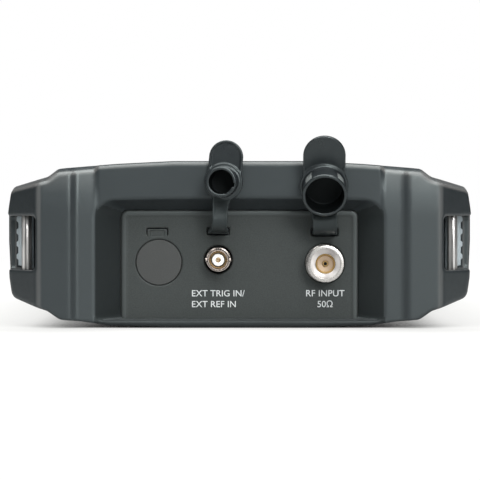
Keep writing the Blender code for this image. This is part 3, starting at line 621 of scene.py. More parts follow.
def boot_rubber():
    """Rubber with a painted highlight: a paler colour along its upper rounded edges and on the bends beside the
    corners, where light catches them.
    """
    m = moulded("boot_rubber", (0.0185, 0.022, 0.024), 0.41, 0.30, 0.05, 0.05, 0.5, 0.03)
    t = m.node_tree
    p = t.nodes["Principled BSDF"]
    old = p.inputs["Base Color"].links[0].from_socket
    geo = t.nodes.new("ShaderNodeNewGeometry")
    sep = t.nodes.new("ShaderNodeSeparateXYZ")
    t.links.new(geo.outputs["Normal"], sep.inputs[0])
    r = t.nodes.new("ShaderNodeValToRGB")
    t.links.new(sep.outputs[2], r.inputs[0])
    e = r.color_ramp.elements
    e[0].position, e[0].color = 0.10, (0, 0, 0, 1)
    e[1].position, e[1].color = 0.38, (1, 1, 1, 1)
    for q, v in ((0.72, 1.0), (0.90, 0.0)):
        e.new(q).color = (v, v, v, 1)
    mx = t.nodes.new("ShaderNodeMix")
    mx.data_type = "RGBA"
    t.links.new(r.outputs[0], mx.inputs[0])
    t.links.new(old, mx.inputs[6])
    # painted highlight colour, mixed in where the fillets face the lamps
    mx.inputs[7].default_value = (0.088, 0.0885, 0.087, 1)
    t.links.new(mx.outputs[2], p.inputs["Base Color"])
    # painted highlight only along the upper edges and on the side bends; and the raised bands are shinier than the
    # middle
    tc = t.nodes.new("ShaderNodeTexCoord")
    pos = t.nodes.new("ShaderNodeSeparateXYZ")
    t.links.new(tc.outputs["Object"], pos.inputs[0])

    def span(src, a, b, lo, hi):
        q = t.nodes.new("ShaderNodeMapRange")
        for k, v in (("From Min", a), ("From Max", b), ("To Min", lo), ("To Max", hi)):
            q.inputs[k].default_value = v
        t.links.new(src, q.inputs["Value"])
        return q.outputs[0]

    def op(kind, a, b=None):
        q = t.nodes.new("ShaderNodeMath")
        q.operation = kind
        t.links.new(a, q.inputs[0])
        if b is not None:
            t.links.new(b, q.inputs[1])
        return q.outputs[0]

    ax = op("ABSOLUTE", pos.outputs[0])
    turned = op("ABSOLUTE", sep.outputs[0])
    # painted highlight on the bends beside the corners, where the surface turns partly sideways
    bend_highlight = op("MULTIPLY", op("MULTIPLY", span(turned, 0.12, 0.28, 0.0, 1.0), span(turned, 0.50, 0.68, 1.0, 0.0)), span(ax, 0.080, 0.083, 0.0, 0.55))
    top = op("MULTIPLY", r.outputs[0], span(pos.outputs[2], 0.040, 0.050, 0.0, 1.0))
    t.links.new(op("MAXIMUM", top, bend_highlight), mx.inputs[0])
    band = op("MULTIPLY", span(ax, 0.0598, 0.0606, 0.0, 1.0), span(ax, 0.0690, 0.0712, 1.0, 0.45))
    t.links.new(span(band, 0.0, 1.0, 0.41, 0.58), p.inputs["Specular IOR Level"])
    return m


M = {
    "boot": boot_rubber(),
    # painted light: a lighter copy of the boot rubber for the up-facing recess floor
    "boot_sill_lit": moulded("boot_rubber_sill_painted_light", (0.034, 0.038, 0.039), 0.50, 0.30, 0.05, 0.05, 0.45, 0.03),
    # painted shade: a darker copy of the boot rubber for the recess walls and lip
    "boot_shaded": moulded("boot_rubber_painted_shade", (0.0100, 0.0120, 0.0125), 0.52, 0.30, 0.05, 0.05, 0.33, 0.03),
    "shell": moulded("shell_plastic", (0.024, 0.027, 0.029), 0.55, 0.45, 0.30, 0.10, 0.45),
    "panel": moulded("panel_plastic", (0.026, 0.0285, 0.0275), 0.55, 0.55, 0.40, 0.22, 0.35, 0.05),
    "panel_rim_lit": moulded("panel_border_painted_highlight", (0.031, 0.0345, 0.034), 0.45, 0.5, 0.10, 0.06, 0.5, 0.03),
    # painted highlight: lighter copy of the cap rubber for the socket's upper flanks
    "cap_painted_highlight": moulded("cap_rubber_painted_highlight", (0.115, 0.125, 0.122), 0.40, 0.9, 0.10, 0.35, 0.5, 0.10),
    "strap": moulded("strap_rubber", (0.0185, 0.0225, 0.0232), 0.56, 0.40, 0.12, 0.08, 0.30, 0.04),
    "disc": moulded("disc_plastic", (0.040, 0.040, 0.039), 0.6, 0.5, 0.25, 0.12, 0.35, 0.05),
    "cap": moulded("cap_rubber", (0.0105, 0.0125, 0.014), 0.31, 0.40, 0.05, 0.10, 0.5, 0.05),
    # painted light: the pad's pale colour stands for the side light on the notch slope
    "pad": moulded("strap_pad", (0.36, 0.41, 0.43), 0.45, 0.4, 0.2, 0.1, 0.45),
    "steel": polished_bar(),
    "nickel": metal("nickel_plate", (0.50, 0.485, 0.46), 0.27, (1, 0.15, 1), 0.3, 0.04, 0.010),
    "nickel_face": brushed_face(),
    "gold_matt": soft_metal("gold_plate_matt", (0.37, 0.275, 0.185), 0.42),
    "gold_rim": soft_metal("gold_plate_rim", (0.50, 0.33, 0.12), 0.30),
    "gold": metal("gold_plate", (0.66, 0.53, 0.36), 0.30, (1, 0.2, 1), 0.3, 0.05, 0.010),
    "gold_dark": metal("gold_plate_worn", (0.50, 0.34, 0.17), 0.26, (1, 0.2, 1), 0.3, 0.05, 0.010),
    "bronze": metal("nickel_plate_warm", (0.50, 0.44, 0.40), 0.24, (1, 0.15, 1), 0.3, 0.05, 0.010),
    # painted shade: a near-black copy of the cap rubber for the inside of its mouth
    "bore": moulded("cap_bore_painted_shade", (0.0022, 0.0027, 0.0030), 0.6, 0.40, 0.1, 0.10, 0.14),
    "zinc": metal("zinc_steel", (0.55, 0.55, 0.54), 0.32, (1, 1, 1), 0.25, 0.12, 0.10),
    "ptfe": moulded("white_ptfe", (0.85, 0.84, 0.80), 0.45, 0.4, 0.1, 0.03, 0.4),
    "white": moulded("label_ink", (0.50, 0.52, 0.52), 0.5, 0.3, 0.1, 0.03, 0.3),
    "dark": moulded("dark_cavity", (0.004, 0.004, 0.004), 0.7, 0.4, 0.2, 0.1, 0.15),
    "key": moulded("key_rubber", (0.075, 0.079, 0.082), 0.55, 0.35, 0.2, 0.06, 0.4),
    "fkey": moulded("function_key_rubber", (0.040, 0.058, 0.082), 0.55, 0.35, 0.2, 0.06, 0.4),
    "knob": moulded("knob_plastic", (0.040, 0.042, 0.044), 0.42, 0.35, 0.2, 0.06, 0.5),
    "membrane": moulded("membrane_rubber", (0.22, 0.22, 0.23), 0.7, 0.5, 0.3, 0.08, 0.3),
    "board": moulded("circuit_board", (0.02, 0.14, 0.06), 0.35, 0.6, 0.2, 0.15, 0.5),
    "shield": metal("shield_metal", (0.68, 0.69, 0.70), 0.33, (0.05, 1, 1), 0.3, 0.08, 0.15),
    "port": metal("port_metal", (0.55, 0.56, 0.57), 0.30, (1, 1, 1), 0.3, 0.08, 0.08),
    "window": moulded("cover_window", (0.006, 0.006, 0.007), 0.10, 3.0, 0.004, 0.05, 0.5),
    "screen": lit("display_dark", (0.010, 0.020, 0.045), 0.25),
    "grid": lit("display_grid_lines", (0.10, 0.16, 0.20), 0.5),
    "trace": lit("display_trace_line", (0.85, 0.80, 0.15), 0.9),
    "menu": lit("display_menu_lines", (0.45, 0.60, 0.70), 0.7),
    "ink": moulded("legend_ink", (0.62, 0.63, 0.63), 0.5, 0.3, 0.1, 0.03, 0.3),
    "led": lit("status_light_green", (0.10, 0.65, 0.20), 0.5),
    "power": moulded("power_key_rubber", (0.20, 0.055, 0.040), 0.52, 0.35, 0.2, 0.06, 0.4),
    "boot_flat": moulded("door_rubber", (0.020, 0.0235, 0.0255), 0.45, 0.35, 0.10, 0.06, 0.5, 0.04),
    "label": moulded("label_film", (0.46, 0.47, 0.47), 0.40, 0.8, 0.05, 0.04, 0.5),
    "print": moulded("label_print", (0.025, 0.025, 0.027), 0.50, 0.4, 0.1, 0.05, 0.3),
    "black": moulded("black_plastic", (0.022, 0.022, 0.023), 0.5, 0.4, 0.2, 0.1, 0.45),
}

# ======================================================================
# Outlines shared by the pieces (mm)
# ======================================================================

OUTLINE = [
    (0.0, 0.0, 0), (30.0, 0.0, 40), (55.0, 0.8, 20), (66.0, 2.5, 8), (75.6, 3.4, 4), (80.8, 7.0, 3), (97.2, 12.2, 4), (98.7, 20.5, 12),
    (99.4, 36.0, 14), (99.4, 48.0, 14), (97.6, 59.0, 3.2), (80.8, 63.4, 3.5), (76.4, 66.8, 3), (70.5, 67.4, 10), (52.0, 68.9, 30),
    (28.0, 70.1, 60), (0.0, 70.5, 0),
]


def whole(half):
    """Right half of an outline (centre line first and last) to a closed polygon."""
    pts = [p for p in half if p[0] > 0]
    left = [(-p[0], *p[1:]) for p in reversed(pts)]
    return pts + left


SHELL_HALF = [
    (50.0, 1.8, 20), (65.0, 4.6, 8), (74.6, 5.6, 3), (78.6, 9.2, 3), (92.3, 15.0, 4), (94.0, 24.0, 8), (94.0, 56.8, 3.0),
    (79.2, 61.6, 4), (74.8, 65.7, 3), (70.5, 67.0, 8),
]
SHELL = SHELL_HALF + [(-x, z, r) for x, z, r in reversed(SHELL_HALF)]
PLAN_HALF = [(84.0, -130.0, 2), (84.0, -127.5, 3), (94.0, -116.0, 3), (94.0, 116.0, 3), (84.0, 127.5, 3), (84.0, 130.0, 2)]
SHELL_PLAN = PLAN_HALF + [(-x, y, r) for x, y, r in reversed(PLAN_HALF)]

F_OUT = Flat(rounded(whole(OUTLINE)), soft=0.35)
F_SHELL = Flat(rounded(SHELL), soft=0.2, grow=0.0)
F_SHELL_PLAN = Flat(rounded(SHELL_PLAN), soft=0.2)
F_BOOT_PLAN = Flat(rounded([
    (-30, -141.5, 0), (59.8, -142.15, 0.6), (60.5, -142.65, 0.8), (68.6, -142.9, 2.2), (71.3, -145.1, 2.4), (85.2, -144.3, 5.0), (98.4, -126.2, 4),
    (100.8, -121.0, 4), (100.8, -113.0, 0), (-30, -113.0, 0)]), soft=0.22)
F_POCKET = Flat(rounded([(85.8, -165.0, 0), (85.8, -129.6, 1.5), (96.2, -117.6, 1.5), (112.0, -117.6, 0), (112.0, -165.0, 0)]), soft=0.0)


# ======================================================================
# Rubber boots
# ======================================================================


def step(t, a, b):
    t = np.clip((t - a) / (b - a), 0.0, 1.0)
    return t * t * (3 - 2 * t)


def boot_body(x, y, z, sign):
    ax, yy = np.abs(x), sign * y  # yy is negative at the outer end of either boot
    corner = step(ax, 59.0, 61.5)
    plan = F_BOOT_PLAN(ax, yy - corner * 0.0050 * np.clip(z - 46.0, 0, 30) ** 2 + 0 * x)
    # the corners have a facet along their top edge where the centre has a round
    drop = 1.9 * np.clip(1 + plan / 3.4, 0, 1) * corner * step(z, 50.0, 62.0)
    body = smax(F_OUT(x, z + drop), plan, (2.4 - 1.0 * corner) * (0.6 + 0.4 * step(z, 4.0, 14.0)))
    inner = np.maximum(np.maximum(F_SHELL(x, z), F_SHELL_PLAN(x, y)) - 0.3, -130.3 - yy)
    body = smax(body, -inner, 0.4)
    pocket = smax(F_POCKET(ax, yy), slab(z, 24.0, 47.0), 2.2)
    body = smax(body, -pocket, 0.9)
    bar = np.maximum(np.hypot(ax - 90.6, yy + 130.2) - 2.35, slab(z, 20.0, 51.0))
    return smax(body, -bar, 0.3)


def recess(x, y, z):
    t = np.clip((y + 142.6) / 9.6, -0.25, 1.0)
    s = np.clip(t, 0, 1)
    hw = 61.1 - 10.8 * t
    zlo = 2.8 + 0.5 * t
    zhi = 53.7 - 4.3 * t + 1.3 * (1 - s) * (1 - (np.clip(x, -60, 60) / 60.0) ** 2)
    r = 7.4 - 4.4 * s
    zc, hh = (zlo + zhi) / 2, (zhi - zlo) / 2
    r = np.where(z < zc, 2.4, r)
    return rbox2(x, z - zc, hw, hh, r) * 0.72


def top_boot(x, y, z):
    f = boot_body(x, y, z, 1)
    f = smax(f, -recess(x, y, z), 0.6)
    seat = np.maximum(rbox2(x, z - 26.5, 54.4, 24.9, 1.0), -132.9 - y)
    return np.maximum(f, -seat)


def bottom_boot(x, y, z):
    f = boot_body(x, y, z, -1)
    t = np.clip((142.6 - y) / 3.2, -0.4, 1.0)
    pan = np.maximum(rbox2(x, z - 31.0, 59.0 - 3.0 * t, 23.4 - 2.4 * t, 6.5 - 2 * np.clip(t, 0, 1)) * 0.8, 139.4 - y)
    f = smax(f, -pan, 0.9)
    # a row of moulded ribs inside the panel for grip
    u = np.mod(x + 3.0, 6.0) - 3.0
    rib = np.maximum(np.maximum(np.hypot(u, y - 139.2) - 1.1, slab(z, 15.0, 47.0)), np.abs(x) - 40.0)
    return smin(f, rib, 0.6)


CELL = 0.7
ob = solid("top_boot_skin", top_boot, (-100, -147, -1.5), (100, -111.5, 73.0), CELL)
dress(ob, M["boot"], BODY, ("top_boot",))
# painted shade: the side walls of the recess and its front lip get a darker copy of the rubber
ob.data.materials.append(M["boot_shaded"])
co = np.array([tuple(pf.center) for pf in ob.data.polygons]) / MM
nx = np.array([pf.normal.x for pf in ob.data.polygons])
deep = (np.abs(recess(co[:, 0], co[:, 1], co[:, 2])) < 0.9) & (np.abs(nx) > 0.5) & (co[:, 1] > -142.3) & (co[:, 1] < -132.0)
lip = (np.abs(co[:, 0]) < 61.0) & (co[:, 1] < -140.8) & (co[:, 2] < 4.4)
nz = np.array([pf.normal.z for pf in ob.data.polygons])
# painted light: the up-facing bottom wall of the recess gets the lighter copy of the rubber
sill = (np.abs(recess(co[:, 0], co[:, 1], co[:, 2])) < 0.9) & (nz > 0.6) & (co[:, 2] < 8.0) & (co[:, 1] > -140.8) & (co[:, 1] < -132.6)
ob.data.materials.append(M["boot_sill_lit"])
ob.data.polygons.foreach_set("material_index", np.where(sill, 2, (deep | lip).astype(np.int32)).astype(np.int32))
ob = solid("bottom_boot_skin", bottom_boot, (-100, 111.5, -1.5), (100, 147, 73.0), 0.9)
dress(ob, M["boot"], BODY, ("bottom_boot",))

# ribbed strap pads on the sloping back of each strap notch; their pale blue-grey colour is painted light, standing for
# the side light that slope catches
for tag, sx, sy in (("top_right", 1, -1), ("top_left", -1, -1), ("bottom_right", 1, 1), ("bottom_left", -1, 1)):
    # plan section of the pad: a strip with saw teeth along Z at its outer edge
    half = []
    pitch, z0, nteeth = 5.35, 25.6, 4
    half.append((0.0, 24.2))
    for k in range(nteeth):
        a = z0 + pitch * k
        half += [(10.2, a), (10.2, a + 2.3), (11.5, a + 3.0), (11.5, a + 4.6)]
    half += [(10.2, z0 + pitch * nteeth - 0.2), (10.2, 46.8), (0.0, 46.8)]
    org = Vector((sx * 87.6, sy * 127.4, 0))
    d = Vector((sx * 96.2 - sx * 85.8, sy * 117.6 - sy * 129.6, 0)).normalized()
    w = Vector((0, 0, 1)).cross(d)
    if w.dot(Vector((sx, sy, 0))) < 0:
        w = -w
    o2 = plate(f"strap_pad_{tag}", [half], 0.15, 1.15, 0.25, 2, (org, d, (0, 0, 1), w))
    fix_normals(o2)
    dress(o2, M["pad"], BODY)

# ======================================================================
# Connector panel and what is set in it
# ======================================================================

RF = (36.2, 0.0, 26.8)
BNC = (-9.0, 0.0, 28.4)
BLANK = (-34.2, 0.0, 27.2)



def panel(x, y, z):
    # a face plate with a full soft edge, on a flange that reaches behind the boot
    f = smax(rbox2(x, z - 25.575, 50.2, 23.775, np.where(z < 20.0, 1.2, 3.0)), slab(y, -133.75, -130.4), 0.9)
    f = smax(f, -smax(rbox2(x, z - 23.0, 47.9, 24.0, 1.6), slab(y, -140.0, -133.6), 0.5), 0.4)
    f = smin(f, np.maximum(rbox2(x, z - 28.0, 53.9, 22.9, 1.0), slab(y, -132.75, -130.4)), 0.5)
    for (cx, cz, r) in ((RF[0], RF[2], 8.25), (BNC[0], BNC[2], 6.05), (BLANK[0], BLANK[2], 9.85)):
        f = smax(f, -(np.hypot(x - cx, z - cz) - r), 0.25)
    for (cx, cz, w, h) in ((RF[0], 39.95, 11.4, 3.2), (BNC[0], 40.4, 9.4, 3.1), (-34.9, 40.25, 9.0, 3.1)):
        f = smax(f, -rbox2(x - cx, z - cz, w / 2, h / 2, 0.4), 0.35)
    return f


ob = solid("connector_panel_skin", panel, (-55, -134.3, 1.0), (55, -129.6, 52), 0.5, steps=5)
dress(ob, M["panel"], BODY, ("connector_panel",))
# the border of the panel is polished, the middle is spark-eroded; the border's lighter colour is a painted highlight
# along the rim
ob.data.materials.append(M["panel_rim_lit"])
co = np.array([tuple(pf.center) for pf in ob.data.polygons]) / MM
edge = rbox2(co[:, 0], co[:, 2] - 23.0, 50.2, 26.35, 3.0)
ob.data.polygons.foreach_set("material_index", ((edge > -2.15) & (edge < 0.6) & (co[:, 1] < -133.2)).astype(np.int32))

# blanking disc with its thin shadow line, and the plug in the spare tether slot
ob = lathe("port_blanking_disc_skin", [(0, -133.55), (9.4, -133.55), (9.66, -133.3), (9.66, -130.1), (10.5, -130.1), (10.5, -128.7), (0, -128.7)], BLANK, "Y", 96, soft=0.2)
dress(ob, M["disc"], BODY, ("port_blanking_disc",))


def spare_plug(x, y, z):
    f = smax(rbox2(x + 34.9, z - 39.78, 4.2, 1.62, 0.3), slab(y, -133.63, -129.0), 0.15)
    g = smax(rbox2(x + 34.9, z - 39.2, 3.0, 1.5, 0.2), slab(y, -134.5, -133.35), 0.2)
    return smax(f, -g, 0.2)


ob = solid("tether_blanking_plug_skin", spare_plug, (-40.5, -134, 37.5), (-29.5, -128.4, 43), 0.2)
dress(ob, M["panel"], BODY, ("tether_blanking_plug",))

# RF input: threaded body with a chamfered mouth, plated bead and centre contact
thread = [(4.15, -128.3), (4.15, -141.0), (4.25, -141.3), (4.5, -141.45), (6.2, -141.62), (6.32, -141.93), (6.5, -141.98), (7.7, -141.62), (7.88, -141.3), (7.9, -140.9)]
pitch = 1.06
y = -140.6
while y < -132.6:
    thread += [(7.9, y), (7.9, y + 0.22), (7.35, y + pitch / 2), (7.35, y + pitch / 2 + 0.18)]
    y += pitch
thread += [(7.35, -131.2), (7.85, -130.9), (7.85, -130.2), (10.5, -130.2), (10.5, -127.7), (7.3, -127.7), (7.3, -118.0), (2.0, -118.0), (2.0, -128.3)]
ob = lathe("n_connector_body_skin", thread, RF, "Y", 128, angle=35)
ob.data.materials.append(M["nickel"])
ob.data.materials.append(M["nickel_face"])
for pf in ob.data.polygons:
    r = math.hypot(pf.center.x / MM - RF[0], pf.center.z / MM - RF[2])
    pf.material_index = 1 if 4.2 < r < 6.25 and pf.center.y < -0.1409 else 0
dress(ob, None, BODY, ("n_connector_body",))
ob = lathe("n_connector_bead_skin", [
    (1.15, -128.4), (1.15, -138.7), (1.4, -138.95), (3.35, -139.1), (3.5, -139.4), (3.6, -140.3), (3.75, -140.55), (3.95, -140.55), (4.12, -140.3), (4.12, -128.4)], RF, "Y", 96, soft=0.08)
ob.data.materials.append(M["gold_matt"])
ob.data.materials.append(M["gold_rim"])
for pf in ob.data.polygons:
    r = math.hypot(pf.center.x / MM - RF[0], pf.center.z / MM - RF[2])
    pf.material_index = 1 if r > 3.4 else 0
dress(ob, None, BODY, ("n_connector_insulator",))
ob = lathe("n_connector_contact_skin", [
    (0.0, -134.0), (0.72, -134.0), (0.72, -139.6), (0.78, -139.75), (1.06, -139.75), (1.13, -139.6), (1.13, -136.7), (0.8, -136.2), (0.8, -118.0), (0.0, -118.0)], RF, "Y", 64, soft=0.05)
dress(ob, M["gold_rim"], BODY, ("n_connector_contact",))
# painted shade: a near-black disc inside the contact's bore
ob = lathe("n_contact_bore", [(0, -139.1), (0.7, -139.1), (0.7, -134.2), (0, -134.2)], RF, "Y", 32)
dress(ob, M["dark"], BODY)

# trigger / reference input
ob = lathe("bnc_connector_body_skin", [
    (3.75, -129.1), (3.75, -141.3), (3.9, -141.75), (4.1, -141.95), (4.35, -141.95), (4.55, -141.7), (4.62, -141.3), (4.62, -133.2), (5.1, -133.0), (5.1, -130.2), (8.5, -130.2), (8.5, -128.2),
    (4.9, -128.2), (4.9, -118.0), (1.6, -118.0), (1.6, -129.1)], BNC, "Y", 96, angle=35)
lugs = [ob]
for s_ in (1, -1):
    lug = lathe(f"bnc_lug_{s_}", [(0, s_ * 4.2), (0.95, s_ * 4.2), (0.95, s_ * 5.3), (0.78, s_ * 5.5), (0, s_ * 5.5)], (0, 0, 0), "X", 28)
    lug.data.transform(Matrix.Translation((BNC[0] * MM, -137.6 * MM, BNC[2] * MM)))
    lugs.append(lug)
ob = merge("bnc_connector_body_skin2", lugs)
ob.name = "bnc_connector_body_skin"
dress(ob, M["bronze"], BODY, ("bnc_connector_body",))
# a gasket ring behind the panel hole, coloured near-black as painted shade for the gap round the connector
ob = lathe("bnc_gasket", [(4.75, -130.35), (4.75, -131.9), (5.0, -132.2), (5.7, -132.2), (6.0, -131.9), (6.0, -130.35)], BNC, "Y", 80, soft=0.1)
dress(ob, M["dark"], BODY)
ob = lathe("bnc_spring_sleeve", [(3.05, -129.5), (3.05, -139.6), (3.2, -139.9), (3.45, -139.9), (3.62, -139.6), (3.62, -129.5)], BNC, "Y", 80, soft=0.08)
dress(ob, M["gold_dark"], BODY)
ob = lathe("bnc_connector_insulator_skin", [
    (1.02, -129.4), (1.02, -140.3), (1.2, -140.7), (2.2, -140.8), (2.52, -140.5), (2.6, -140.1), (2.6, -133.2), (2.95, -133.0), (2.95, -129.4)], BNC, "Y", 72, soft=0.12)
dress(ob, M["ptfe"], BODY, ("bnc_connector_insulator",))
ob = lathe("bnc_connector_contact_skin", [
    (0.0, -139.2), (0.42, -139.3), (0.5, -140.7), (0.7, -140.95), (0.9, -140.8), (0.98, -140.4), (0.98, -129.4), (0.6, -129.2), (0.6, -118.0), (0.0, -118.0)], BNC, "Y", 48)
dress(ob, M["gold"], BODY, ("bnc_connector_contact",))

# port labels: plain function words only
INK_Y = -133.62
FRONT = ((0, 0, 0), (1, 0, 0), (0, 0, 1), (0, -1, 0))
LABEL = []
LABEL.append(text("label_a", "EXT TRIG IN/", 3.78, (-20.45, INK_Y, 12.8), FRONT, M["white"], "LEFT", 0.08, 1.02, 0.02))
LABEL.append(text("label_b", "EXT REF IN", 3.78, (-20.45, INK_Y, 8.2), FRONT, M["white"], "LEFT", 0.08, 1.02, 0.02))
LABEL.append(text("label_c", "RF INPUT", 3.85, (36.3, INK_Y, 12.8), FRONT, M["white"], "CENTER", 0.08, 1.03, 0.02))
LABEL.append(text("label_d", "50Ω", 3.85, (36.3, INK_Y, 8.2), FRONT, M["white"], "CENTER", 0.08, 1.0, 0.02))
for i, o in enumerate(LABEL):
    o.name = f"port_label_{i + 1}"
    dress(o, None, BODY)

# ======================================================================
# Tethered caps, drawn in their own frame: facing -Y, tab up
# ======================================================================

RF_CAP_C, RF_PIVOT, RF_TILT = Vector((35.35, -147.5, 59.3)), Vector((35.775, -146.644, 42.552)), math.radians(23.0)
BNC_CAP_C, BNC_PIVOT, BNC_ROLL, BNC_YAW = Vector((-6.7, -145.5, 61.2)), Vector((-7.85, -148.899, 44.789)), math.radians(5.6), math.radians(-6.1)


def cap_field(r_disc, t_disc, r_out, r_in, depth, tab_w, tab_h, notches, sink=1.0):
    def f(x, y, z):
        r = np.hypot(x, z)
        disc = smax(r - r_disc, slab(y, 0.0, t_disc), 0.55)
        # tab: half-round top, its face sunk inside a thin rim
        zc = tab_h - tab_w / 2
        tab2 = np.where(z > zc, np.hypot(x, np.maximum(z - zc, 0)) - tab_w / 2, np.abs(x) - tab_w / 2)
        tab = smax(smax(tab2, slab(y, 0.15, t_disc - 0.1), 0.5), -z, 0.5)
        sunk = smax(smax(tab2 + 1.1, y - 0.15 - 0.4 * sink, 0.3), -(r - r_disc + 0.2), 0.5)
        f = smin(disc, tab, 0.5)
        f = smax(f, -sunk, 0.3)
        sock = smax(smax(r - r_out, slab(y, -depth, t_disc * 0.5), 0.7), -10.0 - z, 0.5)
        f = smin(f, sock, 1.4)
        bore = smax(r - r_in, y - 0.0, 0.6)
        f = smax(f, -bore, 0.45)
        # thicker lip around the mouth
        lip = np.hypot(r - (r_out - 0.15), y + depth - 0.7) - 0.62
        f = smin(f, np.maximum(lip, -(r - r_in)), 0.4)
        for (ang, wn, dn) in notches:
            ca, sa = math.cos(ang), math.sin(ang)
            u, v = x * ca + z * sa, -x * sa + z * ca
            g = np.maximum(np.maximum(np.abs(v) - wn, slab(u, r_in - 1.0, r_in + dn)), y + 1.5)
            f = smax(f, -g, 0.2)
        return f
    return f


def make_cap(name, node, centre, tilt, roll, yaw, r_disc, t_disc, r_out, r_in, depth, tab_w, tab_h, notches, h, sink=1.0, highlight_patches=False):
    f = cap_field(r_disc, t_disc, r_out, r_in, depth, tab_w, tab_h, notches, sink)
    ob = solid(name, f, (-r_disc - 1, -depth - 1, -r_disc - 1), (r_disc + 1, t_disc + 1, tab_h + 1), h, steps=5)
    place = Matrix.Translation(centre * MM) @ Matrix.Rotation(yaw, 4, "Z") @ Matrix.Rotation(roll, 4, "Y") @ Matrix.Rotation(tilt, 4, "X")
    ob.data.materials.append(M["cap"])
    ob.data.materials.append(M["bore"])
    ob.data.materials.append(M["cap_painted_highlight"])
    for pf in ob.data.polygons:
        c, nn = pf.center / MM, pf.normal
        r = math.hypot(c.x, c.z)
        inward = c.x * nn.x + c.z * nn.z
        # painted shade: faces inside the cap's mouth get the near-black copy of the rubber
        if c.y < 0.8 and c.y > -depth + 0.25 and (r < r_in + 0.15 or (r < r_in + 0.8 and inward < -0.2 * r)):
            pf.material_index = 1
        # painted highlight: lighter patches on the upper left and right flanks of the socket
        elif highlight_patches and inward > 0.6 * r and r < r_out + 0.5 and -depth + 1.7 < c.y < -2.2 and c.z > 0 and 0.60 < abs(c.x) / r < 0.88:
            pf.material_index = 2
    ob.data.transform(place)
    ob.data.update()
    return ob, place


CAP_H = 0.34
rf_cap, RF_PLACE = make_cap("rf_cap_skin", "rf_cap", RF_CAP_C, RF_TILT, 0.0, 0.0, 10.2, 1.8, 8.95, 8.05, 10.0, 17.7, 22.4, [], CAP_H, 0.0, True)
dress(rf_cap, None, "rf_cap", ("rf_cap",))
bnc_cap, BNC_PLACE = make_cap("bnc_cap_skin", "bnc_cap", BNC_CAP_C, 0.0, BNC_ROLL, BNC_YAW, 8.1, 1.6, 6.0, 5.05, 10.0, 14.4, 17.6,
                              [(math.radians(-8), 0.9, 0.6), (math.radians(-62), 0.45, 0.35)], CAP_H * 0.85)
dress(bnc_cap, None, "bnc_cap", ("bnc_cap",))


def strap(name, path, widths, thick, rim):
    """A flat moulded strap along a path in the Y-Z plane (x given per point), with a raised rim down each edge."""
    # resample the path with a Catmull-Rom spline
    P = [Vector(p) for p in path]
    W = list(widths)
    pts, wid = [], []
    for i in range(len(P) - 1):
        p0, p1, p2, p3 = P[max(0, i - 1)], P[i], P[i + 1], P[min(len(P) - 1, i + 2)]
        for k in range(10):
            t = k / 10
            q = 0.5 * ((2 * p1) + (p2 - p0) * t + (2 * p0 - 5 * p1 + 4 * p2 - p3) * t * t + (3 * p1 - p0 - 3 * p2 + p3) * t ** 3)
            pts.append(q)
            wid.append(W[i] + (W[i + 1] - W[i]) * t)
    pts.append(P[-1])
    wid.append(W[-1])
    rows = []
    for i, p in enumerate(pts):
        d = (pts[min(len(pts) - 1, i + 1)] - pts[max(0, i - 1)]).normalized()
        side = Vector((1, 0, 0)) - d * d.x
        side.normalize()
        up = side.cross(d).normalized()
        w, t = wid[i] / 2, thick / 2
        sec = [(-w + 0.25, -t), (0, -t * 0.9), (w - 0.25, -t), (w, -t + 0.25), (w, t + rim - 0.2), (w - 0.25, t + rim), (w - 0.75, t + rim), (w - 1.0, t + 0.05),
               (0, t), (-w + 1.0, t + 0.05), (-w + 0.75, t + rim), (-w + 0.25, t + rim), (-w, t + rim - 0.2), (-w, -t + 0.25)]
        rows.append([p + side * a + up * b for a, b in sec])
    verts, faces = [], []
    for row in rows:
        verts += [tuple(v) for v in row]
    n = len(rows[0])
    for i in range(len(rows) - 1):
        for k in range(n):
            j = (k + 1) % n
            faces.append([i * n + k, i * n + j, (i + 1) * n + j, (i + 1) * n + k])
    faces.append(list(range(n))[::-1])
    faces.append([(len(rows) - 1) * n + k for k in range(n)])
    ob = mesh_object(name, verts, faces)
    fix_normals(ob)
    sub = ob.modifiers.new("sub", "SUBSURF")
    sub.levels = sub.render_levels = 1
    bake(ob)
    ob.data.shade_smooth()
    return ob


# RF cap strap: out of its slot, round the fold, up to the lower edge of the disc
rf_low = RF_PLACE @ (Vector((0, 1.0, -9.4)) * MM) / MM
ob = strap("rf_cap_strap", [
    (36.0, -131.0, 39.9), (36.0, -134.5, 39.9), (35.95, -140.3, 40.3), (35.9, -144.4, 41.2), (35.8, -146.6, 43.4),
    (35.65, -146.6, 46.0), (35.45, rf_low.y - 0.3, rf_low.z - 1.3), (35.35, rf_low.y, rf_low.z + 1.2)],
    [10.4, 10.4, 10.3, 10.3, 10.3, 10.4, 10.8, 11.2], 1.3, 0.28)
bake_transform(ob)
ob.data.materials.append(M["strap"])
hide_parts("rf_cap_tether")

bnc_low = BNC_PLACE @ (Vector((0, 0.8, -7.4)) * MM) / MM
ob = strap("bnc_cap_strap", [
    (-9.0, -131.0, 40.4), (-9.0, -134.5, 40.4), (-8.9, -141.4, 40.9), (-8.6, -146.5, 42.1), (-8.2, -148.9, 44.8),
    (-8.15, -148.4, 47.8), (bnc_low.x - 0.5, bnc_low.y - 0.9, bnc_low.z - 1.6), (bnc_low.x, bnc_low.y - 0.1, bnc_low.z + 0.8)],
    [8.4, 8.4, 7.6, 6.7, 6.2, 6.3, 6.9, 7.4], 1.2, 0.25)
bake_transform(ob)
ob.data.materials.append(M["strap"])
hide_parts("bnc_cap_tether")

